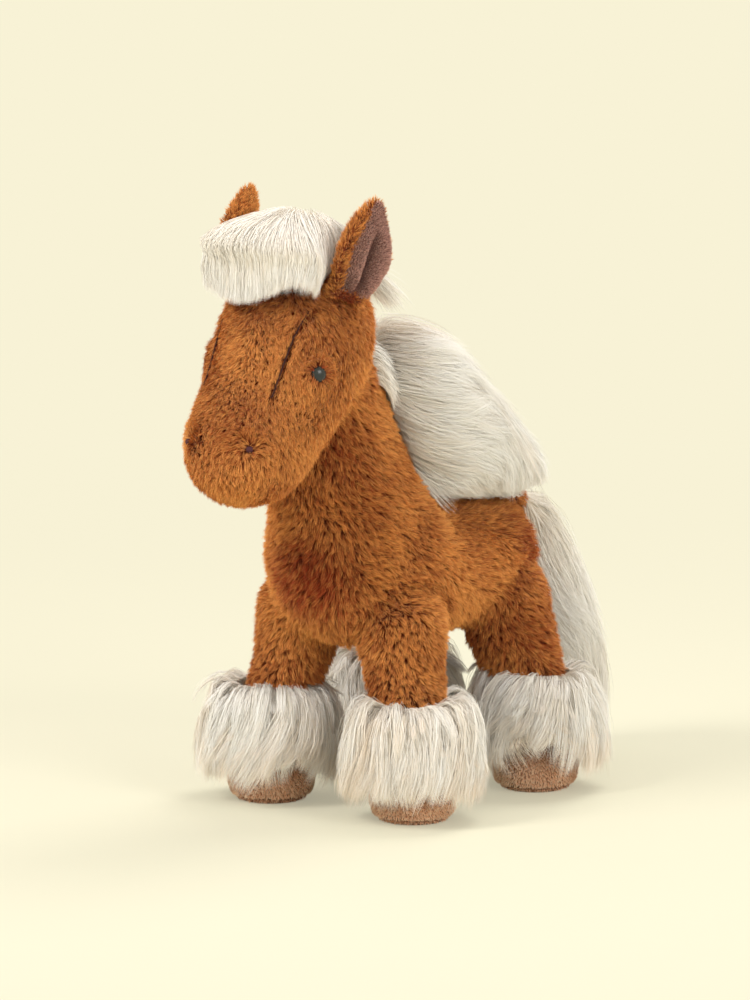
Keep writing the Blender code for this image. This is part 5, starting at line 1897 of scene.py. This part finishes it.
class HORSE_OT_neck_seam(bpy.types.Operator):
    """Make the turned-in seam between head and neck"""

    bl_idname = "plush_horse.neck_seam"
    bl_label = "Neck seam"

    def execute(self, context):
        middle = joint_place("head_turn")
        mesh = remeshed("neck_seam_band", joined_nodes("neck_seam", ["neck_seam"]), EAR_VOXEL)
        relaxed(mesh, times=2)
        set_points(mesh, middle + (numbers(mesh.vertices, "co") - middle) * NECK_SEAM_DRAWN_IN)
        band = add_object("neck_seam_band", mesh, material_named("seam_cloth"))
        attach(band, "neck_seam")
        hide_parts("neck_seam")
        settings = context.scene.horse_pile
        random = np.random.default_rng(97)
        roots, normals = Surface(mesh).scatter(settings.closeness * SEAM_PILE_CLOSENESS, random)
        outer = dot(unit(roots - middle), normals)[:, 0] > SEAM_PILE_FACING
        outer &= roots[:, 1] < middle[1] - SEAM_PILE_FRONT
        length = settings.length * SEAM_PILE_SHARE
        strands = pile_strands(roots[outer], normals[outer], trunk_rule, length, settings, random, 97)
        add_strands("neck_seam_pile", "neck_seam", material_named("brown_pile"), strands)
        return {"FINISHED"}


def pale_when_seen(tree, plain, kind, colour, share=1.0):
    """The plain shader, but pale to the camera and in reflections."""
    seen = node(tree, "ShaderNodeLightPath")
    glow = node(tree, kind)
    feed(tree, glow.inputs["Color"], colour)
    both = maths(tree, "MAXIMUM", seen.outputs["Is Camera Ray"], seen.outputs["Is Glossy Ray"])
    both = maths(tree, "MAXIMUM", both, seen.outputs["Is Transmission Ray"])
    pick = node(tree, "ShaderNodeMixShader")
    feed(tree, pick.inputs[0], maths(tree, "MULTIPLY", both, share))
    tree.links.new(plain, pick.inputs[1])
    tree.links.new(glow.outputs[0], pick.inputs[2])
    return pick.outputs[0]


class HORSE_OT_stage(bpy.types.Operator):
    """Make the floor, the soft lights and the camera"""

    bl_idname = "plush_horse.stage"
    bl_label = "Stage"

    def execute(self, context):
        settings = context.scene.horse_stage
        context.scene.view_settings.view_transform = "Standard"
        self.add_world(settings)
        self.add_floor(settings)
        self.add_camera(settings)
        for name, (place, size, power) in LAMPS.items():
            self.add_lamp(name, place, size, power)
        return {"FINISHED"}

    def add_world(self, settings):
        """Even light from all round."""
        world = bpy.data.worlds.new("studio")
        bpy.context.scene.world = world
        world.use_nodes = True
        tree = world.node_tree
        plain = tree.nodes["Background"]
        plain.inputs["Color"].default_value = (*WORLD_COLOUR, 1.0)
        plain.inputs["Strength"].default_value = WORLD_STRENGTH
        colour = tuple(settings.backdrop_colour)
        shown = pale_when_seen(tree, plain.outputs[0], "ShaderNodeBackground", colour)
        tree.links.new(shown, tree.nodes["World Output"].inputs["Surface"])

    def add_floor(self, settings):
        """A wide floor that fades into the backdrop."""
        bm = bmesh.new()
        bmesh.ops.create_circle(bm, cap_ends=True, segments=96, radius=FLOOR_RADIUS)
        floor = add_object("floor", as_mesh("floor", bm))
        material = bpy.data.materials.new("pale_floor")
        material.use_nodes = True
        tree = material.node_tree
        shader = tree.nodes["Principled BSDF"]
        shader.inputs["Roughness"].default_value = 0.9
        shader.inputs["Specular IOR Level"].default_value = 0.1
        place = own_place(tree)
        cloud = noise(tree, place, FLOOR_CLOUDS)
        colour = tuple(settings.backdrop_colour)
        deeper, lit = (tuple(value * share for value in colour) for share in FLOOR_LIT_SHARES)
        tree.links.new(mixed(tree, cloud, deeper, lit), shader.inputs["Base Color"])
        reach = node(tree, "ShaderNodeVectorMath", operation="LENGTH")
        tree.links.new(place, reach.inputs[0])
        far = between(tree, reach.outputs["Value"], *FLOOR_FADE, *FLOOR_GLOW)
        shown = pale_when_seen(tree, shader.outputs[0], "ShaderNodeEmission", colour, far)
        tree.links.new(shown, tree.nodes["Material Output"].inputs["Surface"])
        floor.data.materials.append(material)

    def add_camera(self, settings):
        """A long lens at the angle from which the horse is seen."""
        turn = settings.azimuth
        rise = settings.elevation
        right = Vector((math.cos(turn), math.sin(turn), 0))
        back = Vector((math.sin(turn) * math.cos(rise), -math.cos(turn) * math.cos(rise), math.sin(rise)))
        above = back.cross(right)
        data = bpy.data.cameras.new("camera")
        data.sensor_fit = "VERTICAL"
        data.sensor_height = FILM
        data.sensor_width = FILM
        data.lens = data.sensor_height * settings.distance / settings.view_height
        data.clip_end = CAMERA_REACH
        camera = bpy.data.objects.new("camera", data)
        bpy.context.scene.collection.objects.link(camera)
        target = right * settings.aim_right + above * settings.aim_up
        camera.location = target + back * settings.distance
        camera.rotation_mode = "QUATERNION"
        camera.rotation_quaternion = Matrix((right, above, back)).transposed().to_quaternion()
        bpy.context.scene.camera = camera

    def add_lamp(self, name, place, size, power):
        """A wide soft lamp turned to the horse."""
        data = bpy.data.lights.new(name, "AREA")
        data.shape = "DISK"
        data.size = size
        data.energy = power
        lamp = bpy.data.objects.new(name, data)
        bpy.context.scene.collection.objects.link(lamp)
        lamp.location = place
        aim = LAMP_AIM - lamp.location
        lamp.rotation_mode = "QUATERNION"
        lamp.rotation_quaternion = aim.to_track_quat("-Z", "Y")


OPERATORS = (HORSE_OT_stage, HORSE_OT_body, HORSE_OT_head, HORSE_OT_legs, HORSE_OT_ears, HORSE_OT_face,
             HORSE_OT_neck_seam, HORSE_OT_mane, HORSE_OT_forelock, HORSE_OT_tail, HORSE_OT_feathers,
             HORSE_OT_hooves)
SETTINGS = (("horse_pile", PileSettings), ("horse_hair", HairSettings), ("horse_feet", FootSettings),
            ("horse_face", FaceSettings), ("horse_stage", StageSettings))


class HORSE_PT_panel(bpy.types.Panel):
    """The sizes and colours of the horse, and the steps that make it"""

    bl_label = "Plush Horse"
    bl_space_type = "VIEW_3D"
    bl_region_type = "UI"
    bl_category = "Plush Horse"

    def draw(self, context):
        layout = self.layout
        for key, kind in SETTINGS:
            box = layout.box()
            box.label(text=kind.__doc__.rstrip("."))
            for name in kind.__annotations__:
                box.prop(getattr(context.scene, key), name)
        for operator in OPERATORS:
            layout.operator(operator.bl_idname)


def register():
    """Make the settings, steps and panel known."""
    for key, kind in SETTINGS:
        bpy.utils.register_class(kind)
        setattr(bpy.types.Scene, key, PointerProperty(type=kind))
    for operator in OPERATORS:
        bpy.utils.register_class(operator)
    bpy.utils.register_class(HORSE_PT_panel)


def unregister():
    """Take the settings, steps and panel away."""
    bpy.utils.unregister_class(HORSE_PT_panel)
    for operator in reversed(OPERATORS):
        bpy.utils.unregister_class(operator)
    for key, kind in reversed(SETTINGS):
        delattr(bpy.types.Scene, key)
        bpy.utils.unregister_class(kind)


def main():
    """Make the horse and its stage."""
    register()
    for operator in OPERATORS:
        group, step = operator.bl_idname.split(".")
        getattr(getattr(bpy.ops, group), step)()


if __name__ == "__main__":
    main()
